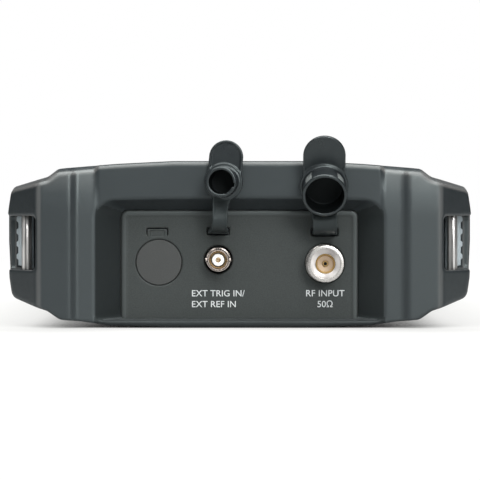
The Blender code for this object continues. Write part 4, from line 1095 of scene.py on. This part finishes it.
# collars that fill the two tether slots
for nm, cx, cz, w, h in (("rf_cap_tether_plug", RF[0], 39.95, 10.9, 2.75), ("bnc_cap_tether_plug", BNC[0], 40.4, 8.9, 2.65)):
    def collar(x, y, z, cx=cx, cz=cz, w=w, h=h):
        return smax(rbox2(x - cx, z - cz, w / 2, h / 2, 0.35), slab(y, -132.9, -128.9), 0.4)
    o2 = solid(nm, collar, (cx - w / 2 - 1, -134, cz - h), (cx + w / 2 + 1, -128, cz + h), 0.25)
    dress(o2, M["strap"], BODY)

# ======================================================================
# Strap bars
# ======================================================================

for n, sx, sy in (("strap_bar_top_right", 1, -1), ("strap_bar_top_left", -1, -1), ("strap_bar_bottom_right", 1, 1), ("strap_bar_bottom_left", -1, 1)):
    ob = lathe(n + "_skin", [(0, 20.7), (1.9, 20.7), (2.15, 20.95), (2.15, 50.05), (1.9, 50.3), (0, 50.3)], (sx * 90.6, sy * 130.2, 0), "Z", 48, angle=50)
    dress(ob, M["steel"], BODY, (n,))

# ======================================================================
# Front: window, display, keys, knob
# ======================================================================

# the person holding it looks down on the front, with the connectors at the top
LEGEND = ((0, 0, 0), (-1, 0, 0), (0, -1, 0), (0, 0, 1))
UPRIGHT = ((0, 0, 0), (1, 0, 0), (0, 1, 0), (0, 0, 1))


def rings(name, loops):
    """Skin through closed loops with the same number of points, closed at both ends."""
    n = len(loops[0])
    verts = [p for q in loops for p in q]
    faces = []
    for a in range(len(loops) - 1):
        for k in range(n):
            j = (k + 1) % n
            faces.append([a * n + k, a * n + j, (a + 1) * n + j, (a + 1) * n + k])
    faces.append(list(range(n))[::-1])
    faces.append([(len(loops) - 1) * n + k for k in range(n)])
    ob = mesh_object(name, verts, faces)
    fix_normals(ob)
    ob.data.set_sharp_from_angle(angle=math.radians(42))
    return ob


def slabs(name, boxes, z0, z1, mat, basis=UPRIGHT):
    """Thin flat bars, each one closed, made into one piece."""
    parts = []
    for k, (x0, x1, y0, y1) in enumerate(boxes):
        r = min(0.35, 0.3 * min(abs(x1 - x0), abs(y1 - y0)))
        parts.append(plate(f"{name}_{k}", [rrect((x0 + x1) / 2, (y0 + y1) / 2, abs(x1 - x0), abs(y1 - y0), r, 2)], z0, z1, 0.0, 0, basis))
        parts[-1].data.materials.append(mat)
    ob = merge(name + "_all", parts)
    ob.name = name
    return ob


LENS = (0.0, -52.0)
ob = plate("display_window", [rrect(*LENS, 143.3, 111.3, 3.7, 10)], 65.3, 66.7, 0.28, 4)
dress(ob, M["window"], BODY, ("display_lens",))
# what the display shows: a grid, a trace, a soft-key column and a status line
SX, SY = 63.0, 46.0
ob = plate("display_picture", [rrect(*LENS, 2 * SX, 2 * SY, 0.6, 2)], 66.70, 66.74, 0.0, 0)
dress(ob, M["screen"], BODY)
gx0, gx1, gy0, gy1 = 40.0, -60.0, -90.0, -20.0      # left, right, top, bottom of the grid as the user sees it
gx0, gx1 = 56.0, -36.0
lines = []
for k in range(11):
    x = gx0 + (gx1 - gx0) * k / 10
    lines.append((x - 0.11, x + 0.11, gy0, gy1))
for k in range(9):
    y = gy0 + (gy1 - gy0) * k / 8
    lines.append((gx1, gx0, y - 0.11, y + 0.11))
ob = slabs("display_grid", lines, 66.74, 66.77, M["grid"])
dress(ob, None, BODY)
trace = []
for k in range(231):
    t = k / 230
    x = gx0 + (gx1 - gx0) * t
    v = 0.80 + 0.022 * math.sin(k * 12.9898) + 0.018 * math.sin(k * 78.233 + 1.3) + 0.012 * math.sin(k * 37.719)
    for c, h, w in ((0.5, 0.66, 0.010), (0.30, 0.34, 0.007), (0.70, 0.30, 0.007), (0.12, 0.16, 0.006), (0.87, 0.14, 0.006)):
        v -= h * math.exp(-abs(t - c) / w)
    trace.append((x, gy0 + (gy1 - gy0) * v))
ribbon = [(x, y - 0.24) for x, y in trace] + [(x, y + 0.24) for x, y in reversed(trace)]
ob = plate("display_trace", [ribbon], 66.77, 66.80, 0.0, 0)
dress(ob, M["trace"], BODY)
cells = []
for k in range(5):
    y = -88.0 + 14.6 * k
    cells += [(-40.0, -60.5, y, y + 0.3), (-40.0, -60.5, y + 12.0, y + 12.3), (-40.0, -40.3, y, y + 12.3), (-60.2, -60.5, y, y + 12.3), (-44.0, -56.0 + 2.0 * (k % 3), y + 5.6, y + 6.8)]
cells += [(-60.5, 60.5, -93.6, -93.3), (56.0, 42.0, -96.4, -95.2), (38.0, 30.0, -96.4, -95.2), (-48.0, -60.5, -96.4, -95.2),
          (56.0, 38.0, -15.6, -14.4), (18.0, 2.0, -15.6, -14.4), (-22.0, -36.0, -15.6, -14.4)]
ob = slabs("display_menu", [(min(a, b), max(a, b), c, d) for a, b, c, d in cells], 66.74, 66.78, M["menu"])
dress(ob, None, BODY)
for k, t_ in enumerate(("0", "-20", "-40", "-60", "-80")):
    o = text(f"display_scale_{k}", t_, 2.6, (62.2, gy0 + (gy1 - gy0) * k / 4 + 1.0, 66.76), LEGEND, M["menu"], "LEFT", 0.04, 0.9, 0.0)
    dress(o, None, BODY)

KEYS = [(f"function_key_{k + 1}", x, 21.0, 22.0, 9.0, 2.5, f"F{k + 1}") for k, x in enumerate((54.0, 27.0, 0.0, -27.0, -54.0))]
for k in range(12):
    tag = ("1", "2", "3", "4", "5", "6", "7", "8", "9", "point", "0", "sign")[k]
    KEYS.append((f"number_key_{tag}", 56.0 - 22.0 * (k % 3), 38.0 + 16.5 * (k // 3), 17.0, 11.0, 3.0, {"point": ".", "sign": "±"}.get(tag, tag)))
KEYS.append(("power_key", -58.0, 96.0, 12.0, 12.0, 5.9, ""))
KEY_PROFILE = [(1.0, 61.4), (1.0, 62.8), (0.85, 63.0), (0.0, 63.05), (0.0, 67.3), (-0.06, 67.75), (-0.22, 68.12), (-0.48, 68.4), (-0.85, 68.56), (-1.3, 68.58),
               (-1.8, 68.5), (-2.6, 68.36), (-3.5, 68.28)]
for node, x, y, w, h, r, legend in KEYS:
    ob = rings(node + "_cap", [[(px, py, z) for px, py in rrect(x, y, w + 2 * d, h + 2 * d, max(0.5, min(r + d, w / 2 + d - 0.05, h / 2 + d - 0.05)), 8)] for d, z in KEY_PROFILE])
    fn_ = node.startswith("function")
    dress(ob, M["fkey"] if fn_ else M["power"] if node == "power_key" else M["key"], node, (node,))
    if legend:
        size = 3.6 if fn_ else 6.6 if legend != "." else 9.0
        o = text(node + "_legend", legend, size, (x, y + (0.35 * size if legend != "." else 1.2), 68.3), LEGEND, M["ink"], "CENTER", 0.10, 1.0, 0.03)
        dress(o, None, node)
arc = [(-58.0 + 3.0 * math.sin(math.radians(a)), 96.0 + 3.0 * math.cos(math.radians(a))) for a in range(-140, 141, 10)]
arc += [(-58.0 + 2.35 * math.sin(math.radians(a)), 96.0 + 2.35 * math.cos(math.radians(a))) for a in range(140, -141, -10)]
p1 = plate("power_arc", [arc], 68.25, 68.36, 0.0, 0)
p2 = plate("power_bar", [rrect(-58.0, 93.6, 0.65, 3.4, 0.3, 3)], 68.25, 68.36, 0.0, 0)
for o in (p1, p2):
    o.data.materials.append(M["ink"])
ob = merge("power_key_symbol", [p1, p2])
dress(ob, None, "power_key")

# raised surrounds for the number keys and the power key
holes = [rrect(x, y, w + 1.7, h + 1.7, r + 0.85, 6) for node, x, y, w, h, r, _ in KEYS if node.startswith("number")]
ob = plate("number_key_surround", [rrect(34.0, 62.75, 68.5, 67.5, 5.0, 10)] + holes, 66.9, 67.45, 0.22, 3)
dress(ob, M["panel"], BODY)
ob = lathe("power_key_surround", [(6.75, 66.9), (6.75, 67.4), (7.0, 67.6), (8.0, 67.55), (8.3, 67.2), (8.35, 66.9)], (-58.0, 96.0, 0), "Z", 64, soft=0.08)
dress(ob, M["panel"], BODY)
ob = lathe("knob_surround", [(18.9, 66.9), (18.9, 67.35), (19.2, 67.6), (20.6, 67.55), (21.2, 67.1), (21.3, 66.9)], (-43.0, 62.0, 0), "Z", 96, soft=0.1)
dress(ob, M["panel"], BODY)
ob = lathe("status_light", [(0, 66.8), (1.3, 66.8), (1.3, 67.1), (1.0, 67.4), (0.5, 67.52), (0, 67.55)], (-43.0, 96.0, 0), "Z", 32)
dress(ob, M["led"], BODY)
ob = slabs("function_key_marks", [(x - 3.0, x + 3.0, 14.0, 14.5) for x in (54.0, 27.0, 0.0, -27.0, -54.0)], 66.95, 67.04, M["ink"])
dress(ob, None, BODY)


def knob():
    """Knob with fluted sides and a dished top, for turning with one finger."""
    prof = [(0.0, 60.0), (3.0, 60.0), (3.0, 67.5), (16.9, 67.5), (17.7, 67.75), (18.0, 68.4), (17.85, 69.4), (17.65, 70.6), (17.4, 71.9), (17.05, 72.6), (16.4, 72.95),
            (15.4, 73.0), (12.9, 73.0), (12.3, 72.85), (11.6, 72.35), (9.0, 71.95), (5.0, 71.75), (0.0, 71.7)]
    seg = 240
    loops = []
    for r, z in prof[1:-1]:
        loop = []
        for k in range(seg):
            a = 2 * math.pi * k / seg
            rr = r
            if r > 16.7 and 67.6 < z < 72.7:
                rr -= 0.55 * max(0.0, math.cos(30 * a)) ** 2
            dx, dy = rr * math.cos(a), rr * math.sin(a)
            dz = 0.0
            # finger hollow
            q = math.hypot(dx - 0.0, dy + 7.6)
            if z > 71.6 and r < 13.0:
                dz = -0.9 * math.exp(-(q / 3.0) ** 2)
            loop.append((-43.0 + dx, 62.0 + dy, 67.5 + (z + dz - 67.5) * (0.78 if z > 67.5 else 1.0)))
        loops.append(loop)
    return rings("control_knob_skin", loops)


ob = knob()
dress(ob, M["knob"], "control_knob", ("control_knob",))
ob = plate("control_knob_mark", [rrect(-43.0, 62.0 - 14.1, 0.8, 2.0, 0.35, 4)], 71.72, 71.86, 0.0, 0)
dress(ob, M["ink"], "control_knob")

# ======================================================================
# Sides: grilles and rubber door
# ======================================================================


def grille(name, node, x_out, sgn, yc, zc, w, h, slots):
    """Slotted cover, seen from outside; sgn is the side it faces."""
    loops = [rrect(yc, zc, w - 0.6, h - 0.6, 1.7, 6)]
    for k in range(slots):
        z = zc - h / 2 + 3.0 + (h - 6.0) * k / (slots - 1)
        for c in (-1, 1):
            loops.append(rrect(yc + c * (w - 7) / 4, z, (w - 7) / 2 - 1.2, 1.75, 0.85, 4))
    o = plate(name, loops, -2.3, 0.0, 0.3, 3, ((x_out, 0, 0), (0, sgn, 0), (0, 0, 1), (sgn, 0, 0)) if sgn > 0 else ((x_out, 0, 0), (0, 1, 0), (0, 0, 1), (-1, 0, 0)))
    fix_normals(o)
    dress(o, M["panel"], BODY, (node,))


grille("exhaust_grille_skin", "exhaust_grille", 93.8, 1, 0.0, 31.0, 36.0, 20.0, 5)
grille("intake_grille_skin", "intake_grille", -93.8, -1, -56.0, 30.0, 40.0, 20.0, 5)


def side_door(x, y, z):
    u, v = y - 24.0, z - 26.9
    f = smax(rbox2(u, v - 0.35, 34.0, 12.0, 2.0), slab(x, -93.95, -92.35), 0.6)
    # sunk field with a raised frame round it, and ribs to push against
    g = smax(rbox2(u, v - 0.6, 30.6, 8.8, 1.6), slab(x, -96.0, -93.55), 0.3)
    f = smax(f, -g, 0.3)
    for k in range(6):
        rib = np.maximum(np.hypot(x + 93.5, y - (46.0 + 1.9 * k)) - 0.5, np.abs(v - 0.6) - 6.4)
        f = smin(f, rib, 0.25)
    # three pictured ports: two pairs of slots and a ring
    for cy, cz, w, h in ((2.5, 24.6, 6.0, 1.6), (2.5, 32.4, 6.0, 1.6), (21.0, 28.1, 5.4, 4.6)):
        m = np.maximum(np.abs(rbox2(y - cy, z - cz, w, h, 0.8)) - 0.28, np.abs(x + 93.55) - 0.2)
        f = smin(f, m, 0.15)
    m = np.maximum(np.abs(np.hypot(y - 38.0, z - 28.1) - 3.2) - 0.28, np.abs(x + 93.55) - 0.2)
    f = smin(f, m, 0.15)
    lip = smax(np.maximum(rbox2(u, z - 28.6, 30.2, 8.4, 1.0), -rbox2(u, z - 28.6, 28.6, 6.8, 0.8)), slab(x, -92.6, -91.85), 0.2)
    f = smin(f, lip, 0.25)
    barrel = np.maximum(np.hypot(x + 93.1, z - 15.25) - 0.85, np.abs(u) - 33.9)
    cutlow = 15.25 - z
    f = smax(f, cutlow, 0.2)
    f = smin(f, barrel, 0.3)
    pull = smax(rbox2(u, z - 39.2, 6.0, 0.9, 0.5), slab(x, -94.9, -93.2), 0.4)
    return smin(f, pull, 0.4)


ob = solid("port_door_skin", side_door, (-96, -12, 13.5), (-91, 60, 41), 0.33)
dress(ob, M["boot_flat"], "port_door", ("port_door",))

# ======================================================================
# Back: stand, battery door and its screw, battery, label
# ======================================================================


def stand(x, y, z):
    f = smax(rbox2(x, y + 59.7, 37.0, 36.5, 2.6), slab(z, 2.0, 4.8), 0.7)
    f = smax(f, -rbox2(x, y + 64.0, 25.0, 23.0, 5.0), 0.5)
    # a groove round the outside and grip ribs by the free edge
    g = np.maximum(np.abs(rbox2(x, y + 59.7, 33.6, 33.2, 2.0)) - 0.45, z - 2.45)
    f = smax(f, -g, 0.3)
    for k in range(4):
        rib = np.maximum(np.hypot(y + 35.5 - 2.4 * k, z - 2.0) - 0.62, np.abs(x) - 15.0)
        f = smin(f, rib, 0.3)
    f = smax(f, -96.0 - y, 0.2)
    f = smin(f, np.maximum(np.hypot(y + 96.0, z - 3.4) - 1.4, np.abs(x) - 37.0), 0.4)
    return smin(f, np.maximum(np.hypot(y + 96.0, z - 3.4) - 1.2, np.abs(x) - 39.4), 0.1)


ob = solid("kickstand_skin", stand, (-41, -98.5, 0.8), (41, -22, 5.6), 0.42)
dress(ob, M["shell"], "kickstand", ("kickstand",))


def back_door(x, y, z):
    f = smax(rbox2(x, y - 65.0, 43.1, 46.1, 4.0), slab(z, 1.8, 4.2), 0.7)
    g = np.maximum(np.abs(rbox2(x, y - 65.0, 39.6, 42.6, 3.0)) - 0.45, z - 2.2)
    f = smax(f, -g, 0.3)
    for k in range(5):
        f = smax(f, -(np.maximum(rbox2(x, y - 27.0 - 3.2 * k, 15.0, 0.75, 0.6), z - 2.7)), 0.35)
    # arrow that shows which way the door comes off
    tri = np.maximum(np.abs(x) * 0.9 + (y - 54.0) * 0.45, 50.0 - y)
    f = smax(f, -np.maximum(tri, z - 2.3), 0.2)
    f = smax(f, -smax(np.hypot(x, y - 106.2) - 4.35, z - 3.5, 0.3), 0.35)
    return np.maximum(f, -(np.hypot(x, y - 106.2) - 2.0))


ob = solid("battery_door_skin", back_door, (-45, 17, 0.8), (45, 113, 5.2), 0.45)
dress(ob, M["shell"], "battery_door", ("battery_door",))


def coin_screw(x, y, z):
    r = np.hypot(x, y - 106.2)
    a = np.arctan2(y - 106.2, x)
    f = smax(r - 3.95 + 0.12 * np.maximum(0, np.cos(28 * a)), slab(z, 1.9, 3.2), 0.5)
    f = smin(f, np.maximum(r - 1.6, slab(z, 3.0, 9.5)), 0.1)
    return smax(f, -np.maximum(np.abs(y - 106.2) - 0.6, z - 2.65), 0.15)


ob = solid("battery_door_screw_skin", coin_screw, (-5, 101, 1.2), (5, 111.5, 10.2), 0.2)
dress(ob, M["zinc"], "battery_door_screw", ("battery_door_screw",))


def battery(x, y, z):
    f = smax(rbox2(x, y - 64.0, 38.0, 36.0, 2.5), slab(z, 5.4, 30.0), 1.2)
    f = smax(f, -np.maximum(rbox2(x, y - 60.0, 30.0, 22.0, 1.5), z - 5.75), 0.25)
    seam = np.maximum(np.abs(z - 17.5) - 0.3, -rbox2(x, y - 64.0, 37.6, 35.6, 2.3))
    f = smax(f, -seam, 0.2)
    notch = np.maximum(rbox2(x, y - 96.0, 9.0, 2.4, 1.2), z - 6.6)
    return smax(f, -notch, 0.4)


ob = solid("battery_pack_skin", battery, (-39.5, 26.5, 4.2), (39.5, 101.5, 31.4), 0.7)
dress(ob, M["black"], "battery_pack", ("battery_pack",))
ob = plate("battery_label", [rrect(0, 60.0, 58.5, 42.5, 1.2, 4)], 5.60, 5.78, 0.0, 0)
dress(ob, M["label"], "battery_pack")
ob = slabs("battery_label_print", [(-26, 26, 42.0, 42.6), (-26, 26, 77.4, 78.0), (-26, -2, 46.0, 47.4), (-26, 8, 49.4, 50.4), (-26, 2, 52.4, 53.4),
                                   (12, 26, 46.0, 54.0)], 5.52, 5.61, M["print"])
dress(ob, None, "battery_pack")
ob = slabs("battery_contacts", [(-16 + 7 * k, -12.5 + 7 * k, 91.2, 92.4) for k in range(5)], 5.3, 5.45, M["gold"])
dress(ob, None, "battery_pack")

# rating label under the stand: a plain printed plate
ob = plate("rating_label", [rrect(0, -64.0, 44.0, 38.0, 1.5, 4)], 4.98, 5.18, 0.0, 0)
dress(ob, M["label"], BODY)
bars = [(-19, 19, -80.4, -80.0), (-19, 19, -48.0, -47.6)]
x_ = -18.0
for k in range(26):
    w_ = (0.3, 0.6, 0.35, 0.8)[(k * 7) % 4]
    bars.append((x_, x_ + w_, -60.0, -52.0))
    x_ += w_ + (0.4, 0.8, 0.5)[(k * 5) % 3]
bars += [(-18, 2, -76.6, -75.4), (-18, 12, -72.8, -71.8), (-18, 6, -69.4, -68.4), (-18, 9, -66.0, -65.0)]
ob = slabs("rating_label_print", bars, 4.90, 5.0, M["print"])
dress(ob, None, BODY)

# ======================================================================
# Inside, and shells: CAD shapes with softened edges
# ======================================================================


def keep(node, mat, bevel=0.0, seg=2, angle=35):
    o = NODES[node]
    o.data.materials.clear()
    o.data.materials.append(M[mat])
    if bevel:
        m = o.modifiers.new("edge", "BEVEL")
        m.width = bevel * MM
        m.segments = seg
        m.limit_method = "ANGLE"
        m.angle_limit = math.radians(angle)
        m.harden_normals = True
    o.data.shade_smooth()
    o.data.set_sharp_from_angle(angle=math.radians(35))


KEEP = {
    "front_shell": ("shell", 0.35), "rear_shell": ("shell", 0.35), "lcd_module": ("port", 0.5), "keypad_membrane": ("membrane", 0.6),
    "main_board": ("board", 0.15), "rf_module": ("shield", 0.8), "rotary_encoder": ("zinc", 0.3), "fan_frame": ("black", 0.3), "fan_rotor": ("black", 0.15),
    "port_block": ("port", 0.25), "case_screw_1": ("zinc", 0.2), "case_screw_2": ("zinc", 0.2), "case_screw_3": ("zinc", 0.2), "case_screw_4": ("zinc", 0.2),
}
for n, o in NODES.items():
    if not o.hide_render:
        keep(n, *KEEP[n])

# lid of the screening can, with its screws and stiffening beads
lid = plate("rf_module_lid", [rrect(0, -71.25, 112, 88.5, 2.0, 4)], 42.0, 42.8, 0.2, 2)
lid.data.materials.append(M["shield"])
parts = [lid]
for kx in (-52, -17.5, 17.5, 52):
    for ky in (-111.5, -71.25, -31.0):
        o = lathe("lid_screw", [(0, 42.7), (1.5, 42.7), (1.5, 43.3), (1.2, 43.6), (0.5, 43.6), (0.4, 43.2), (0, 43.2)], (kx, ky, 0), "Z", 20)
        o.data.materials.append(M["zinc"])
        parts.append(o)
for kx in (-35, 0, 35):
    o = plate("lid_bead", [rrect(kx, -71.25, 3.2, 60, 1.5, 4)], 42.6, 43.4, 0.35, 2)
    o.data.materials.append(M["shield"])
    parts.append(o)
ob = merge("rf_module_cover", parts)
dress(ob, None, BODY)
# parts on the back of the main board
parts = []
for k, (x, y, w, h, t) in enumerate(((-30, 20, 18, 18, 1.6), (10, 20, 24, 24, 2.0), (48, 30, 12, 16, 1.4), (-55, 50, 14, 10, 1.2), (-20, 60, 10, 10, 1.0), (20, 62, 16, 9, 1.2), (50, 70, 20, 12, 3.0), (-60, 85, 12, 14, 2.2))):
    o = plate("chip", [rrect(x, y, w, h, 0.5, 2)], 55.0 - t, 55.0, 0.15, 2)
    o.data.materials.append(M["black"])
    parts.append(o)
for k in range(14):
    x, y = -66 + 10 * k, 96 + 3 * (k % 2)
    o = plate("passive", [rrect(x, y, 2.4, 1.4, 0.2, 2)], 54.1, 55.0, 0.12, 2)
    o.data.materials.append(M["port"])
    parts.append(o)
ob = merge("main_board_parts", parts)
dress(ob, None, BODY)

# ======================================================================
# Stage, light and camera
# ======================================================================

sc = bpy.context.scene
sc.view_settings.view_transform = "Standard"
sc.view_settings.look = "None"
sc.view_settings.exposure = 0.0
sc.view_settings.gamma = 1.0

# name, place, aim, width, watts, colour, height (metres)
GLOW=0.0
FLOOR_LIFT=1.0
AO_POWER=0.50
WORLD_BACK=(0.86,0.97); WORLD_DARK=0.0; WORLD_BRIGHT=0.6
LIGHTS=[
 ("key_top",(0.0,-0.35,1.25),(0,-0.1,0.0),1.7,42,(1,1,1),1.2),
 ("top_front",(0.0,-1.3,1.1),(0,-0.1,0.0),1.6,9,(1,1,1),0.8),
 ("front_high",(0.15,-2.6,0.75),(0,0.0,0.05),2.0,8,(0.97,0.985,1),1.3),
 ("front_left",(-1.05,-1.0,0.45),(-0.05,-0.14,0.04),0.35,1.4,(1,1,1),0.6),
 ("front_right",(0.75,-1.5,0.35),(0.05,-0.14,0.04),0.5,4,(1,1,1),0.6),
 ("right_front_high",(0.6,-1.9,0.9),(0.05,-0.14,0.04),0.6,18,(1,1,1),0.6),
]

bpy.ops.mesh.primitive_plane_add(size=12.0, location=(0, 0, -0.0002))
floor = bpy.context.active_object
floor.name = "floor"
fn = Nodes("floor_white")
path = fn.node("ShaderNodeLightPath")
seen = path.outputs["Is Camera Ray"]
# the floor looks white, yet throws little light back up at the instrument
# a soft contact shadow close to whatever stands on it
ao = fn.node("ShaderNodeAmbientOcclusion", samples=8)
ao.inputs["Distance"].default_value = 0.055
where = fn.node("ShaderNodeNewGeometry")
axes = fn.node("ShaderNodeSeparateXYZ")
fn.link(where.outputs["Position"], axes.inputs[0])
# painted shadow: the darkening is made stronger in front of the corners and weaker at the middle, and also darkens the
# light the floor sends back
ahead = fn.ramp(axes.outputs[1], -0.141, -0.166, 0.0, 1.0)
across = fn.math("ABSOLUTE", axes.outputs[0])
aside = fn.ramp(across, 0.045, 0.078, 0.25, 0.9)
depth = fn.math("ADD", fn.math("MULTIPLY", ahead, aside), fn.math("MULTIPLY", fn.ramp(ahead, 0.0, 1.0, 1.0, 0.0), fn.ramp(across, 0.074, 0.090, AO_POWER, 0.28)))
contact_shade = fn.math("POWER", ao.outputs["AO"], depth)
fn.set(Base_Color=fn.mix(seen, (0.42, 0.42, 0.42), fn.mix(contact_shade, (0.008, 0.008, 0.008), (0.02, 0.02, 0.02))), Roughness=0.7, Specular_IOR_Level=0.1)
fn.set(Emission_Color=(1.0, 1.0, 0.985), Emission_Strength=fn.math("MULTIPLY", contact_shade, fn.ramp(seen, 0.0, 1.0, 0.0, FLOOR_LIFT)))
# the sweep fades to plain white away from the instrument, so that no horizon shows
geo = fn.node("ShaderNodeNewGeometry")
length = fn.node("ShaderNodeVectorMath", operation="LENGTH")
fn.link(geo.outputs["Position"], length.inputs[0])
glow = fn.node("ShaderNodeEmission")
glow.inputs[0].default_value = (1, 1, 1, 1)
fn.link(fn.ramp(seen, 0.0, 1.0, GLOW, 1.0), glow.inputs[1])
blend = fn.node("ShaderNodeMixShader")
fn.link(fn.ramp(length.outputs["Value"], 0.42, 0.95), blend.inputs[0])
fn.link(fn.p.outputs[0], blend.inputs[1])
fn.link(glow.outputs[0], blend.inputs[2])
fn.link(blend.outputs[0], fn.t.nodes["Material Output"].inputs["Surface"])
floor.data.materials.append(fn.m)

world = bpy.data.worlds.new("studio")
sc.world = world
world.use_nodes = True
wt = world.node_tree
wt.nodes.clear()


def wnode(kind, **k):
    n = wt.nodes.new(kind)
    for a, b in k.items():
        setattr(n, a, b)
    return n


out = wnode("ShaderNodeOutputWorld")
bg_cam, bg_env = wnode("ShaderNodeBackground"), wnode("ShaderNodeBackground")
bg_cam.inputs[0].default_value = (1, 1, 1, 1)
bg_env.inputs[0].default_value = (0.97, 0.985, 1.0, 1)
mixs, lp, co, sep = wnode("ShaderNodeMixShader"), wnode("ShaderNodeLightPath"), wnode("ShaderNodeTexCoord"), wnode("ShaderNodeSeparateXYZ")
wt.links.new(co.outputs["Generated"], sep.inputs[0])
# a white card behind, darkness at the sides and overhead
back = wnode("ShaderNodeMapRange", interpolation_type="SMOOTHSTEP")
for k, v in (("From Min", WORLD_BACK[0]), ("From Max", WORLD_BACK[1]), ("To Min", WORLD_DARK), ("To Max", WORLD_BRIGHT)):
    back.inputs[k].default_value = v
wt.links.new(sep.outputs[1], back.inputs["Value"])
wt.links.new(back.outputs[0], bg_env.inputs[1])
wt.links.new(lp.outputs["Is Camera Ray"], mixs.inputs[0])
wt.links.new(bg_env.outputs[0], mixs.inputs[1])
wt.links.new(bg_cam.outputs[0], mixs.inputs[2])
wt.links.new(mixs.outputs[0], out.inputs[0])


def area(name, loc, target, size, power, colour=(1, 1, 1), size_y=None):
    li = bpy.data.lights.new(name, "AREA")
    li.shape = "RECTANGLE"
    li.size, li.size_y = size, size_y or size
    li.energy = power
    li.color = colour
    o = bpy.data.objects.new(name, li)
    sc.collection.objects.link(o)
    o.location = loc
    o.rotation_mode = "QUATERNION"
    o.rotation_quaternion = (Vector(target) - Vector(loc)).to_track_quat("-Z", "Y")
    return o


for args in LIGHTS:
    area(*args)

cam = bpy.data.cameras.new("camera")
cam.sensor_width = 36.0
cam.lens = 178.8
cam.clip_start, cam.clip_end = 0.05, 30
CAM_Z = 0.055
cobj = bpy.data.objects.new("camera", cam)
sc.collection.objects.link(cobj)
cobj.location = (0.0002, -1.145, CAM_Z)
horizon = 328.0 - CAM_Z * 1000 / 0.4194
cobj.rotation_euler = (math.radians(90) - math.atan((240 - horizon) * 0.4194 / 1000), 0, 0)
sc.camera = cobj
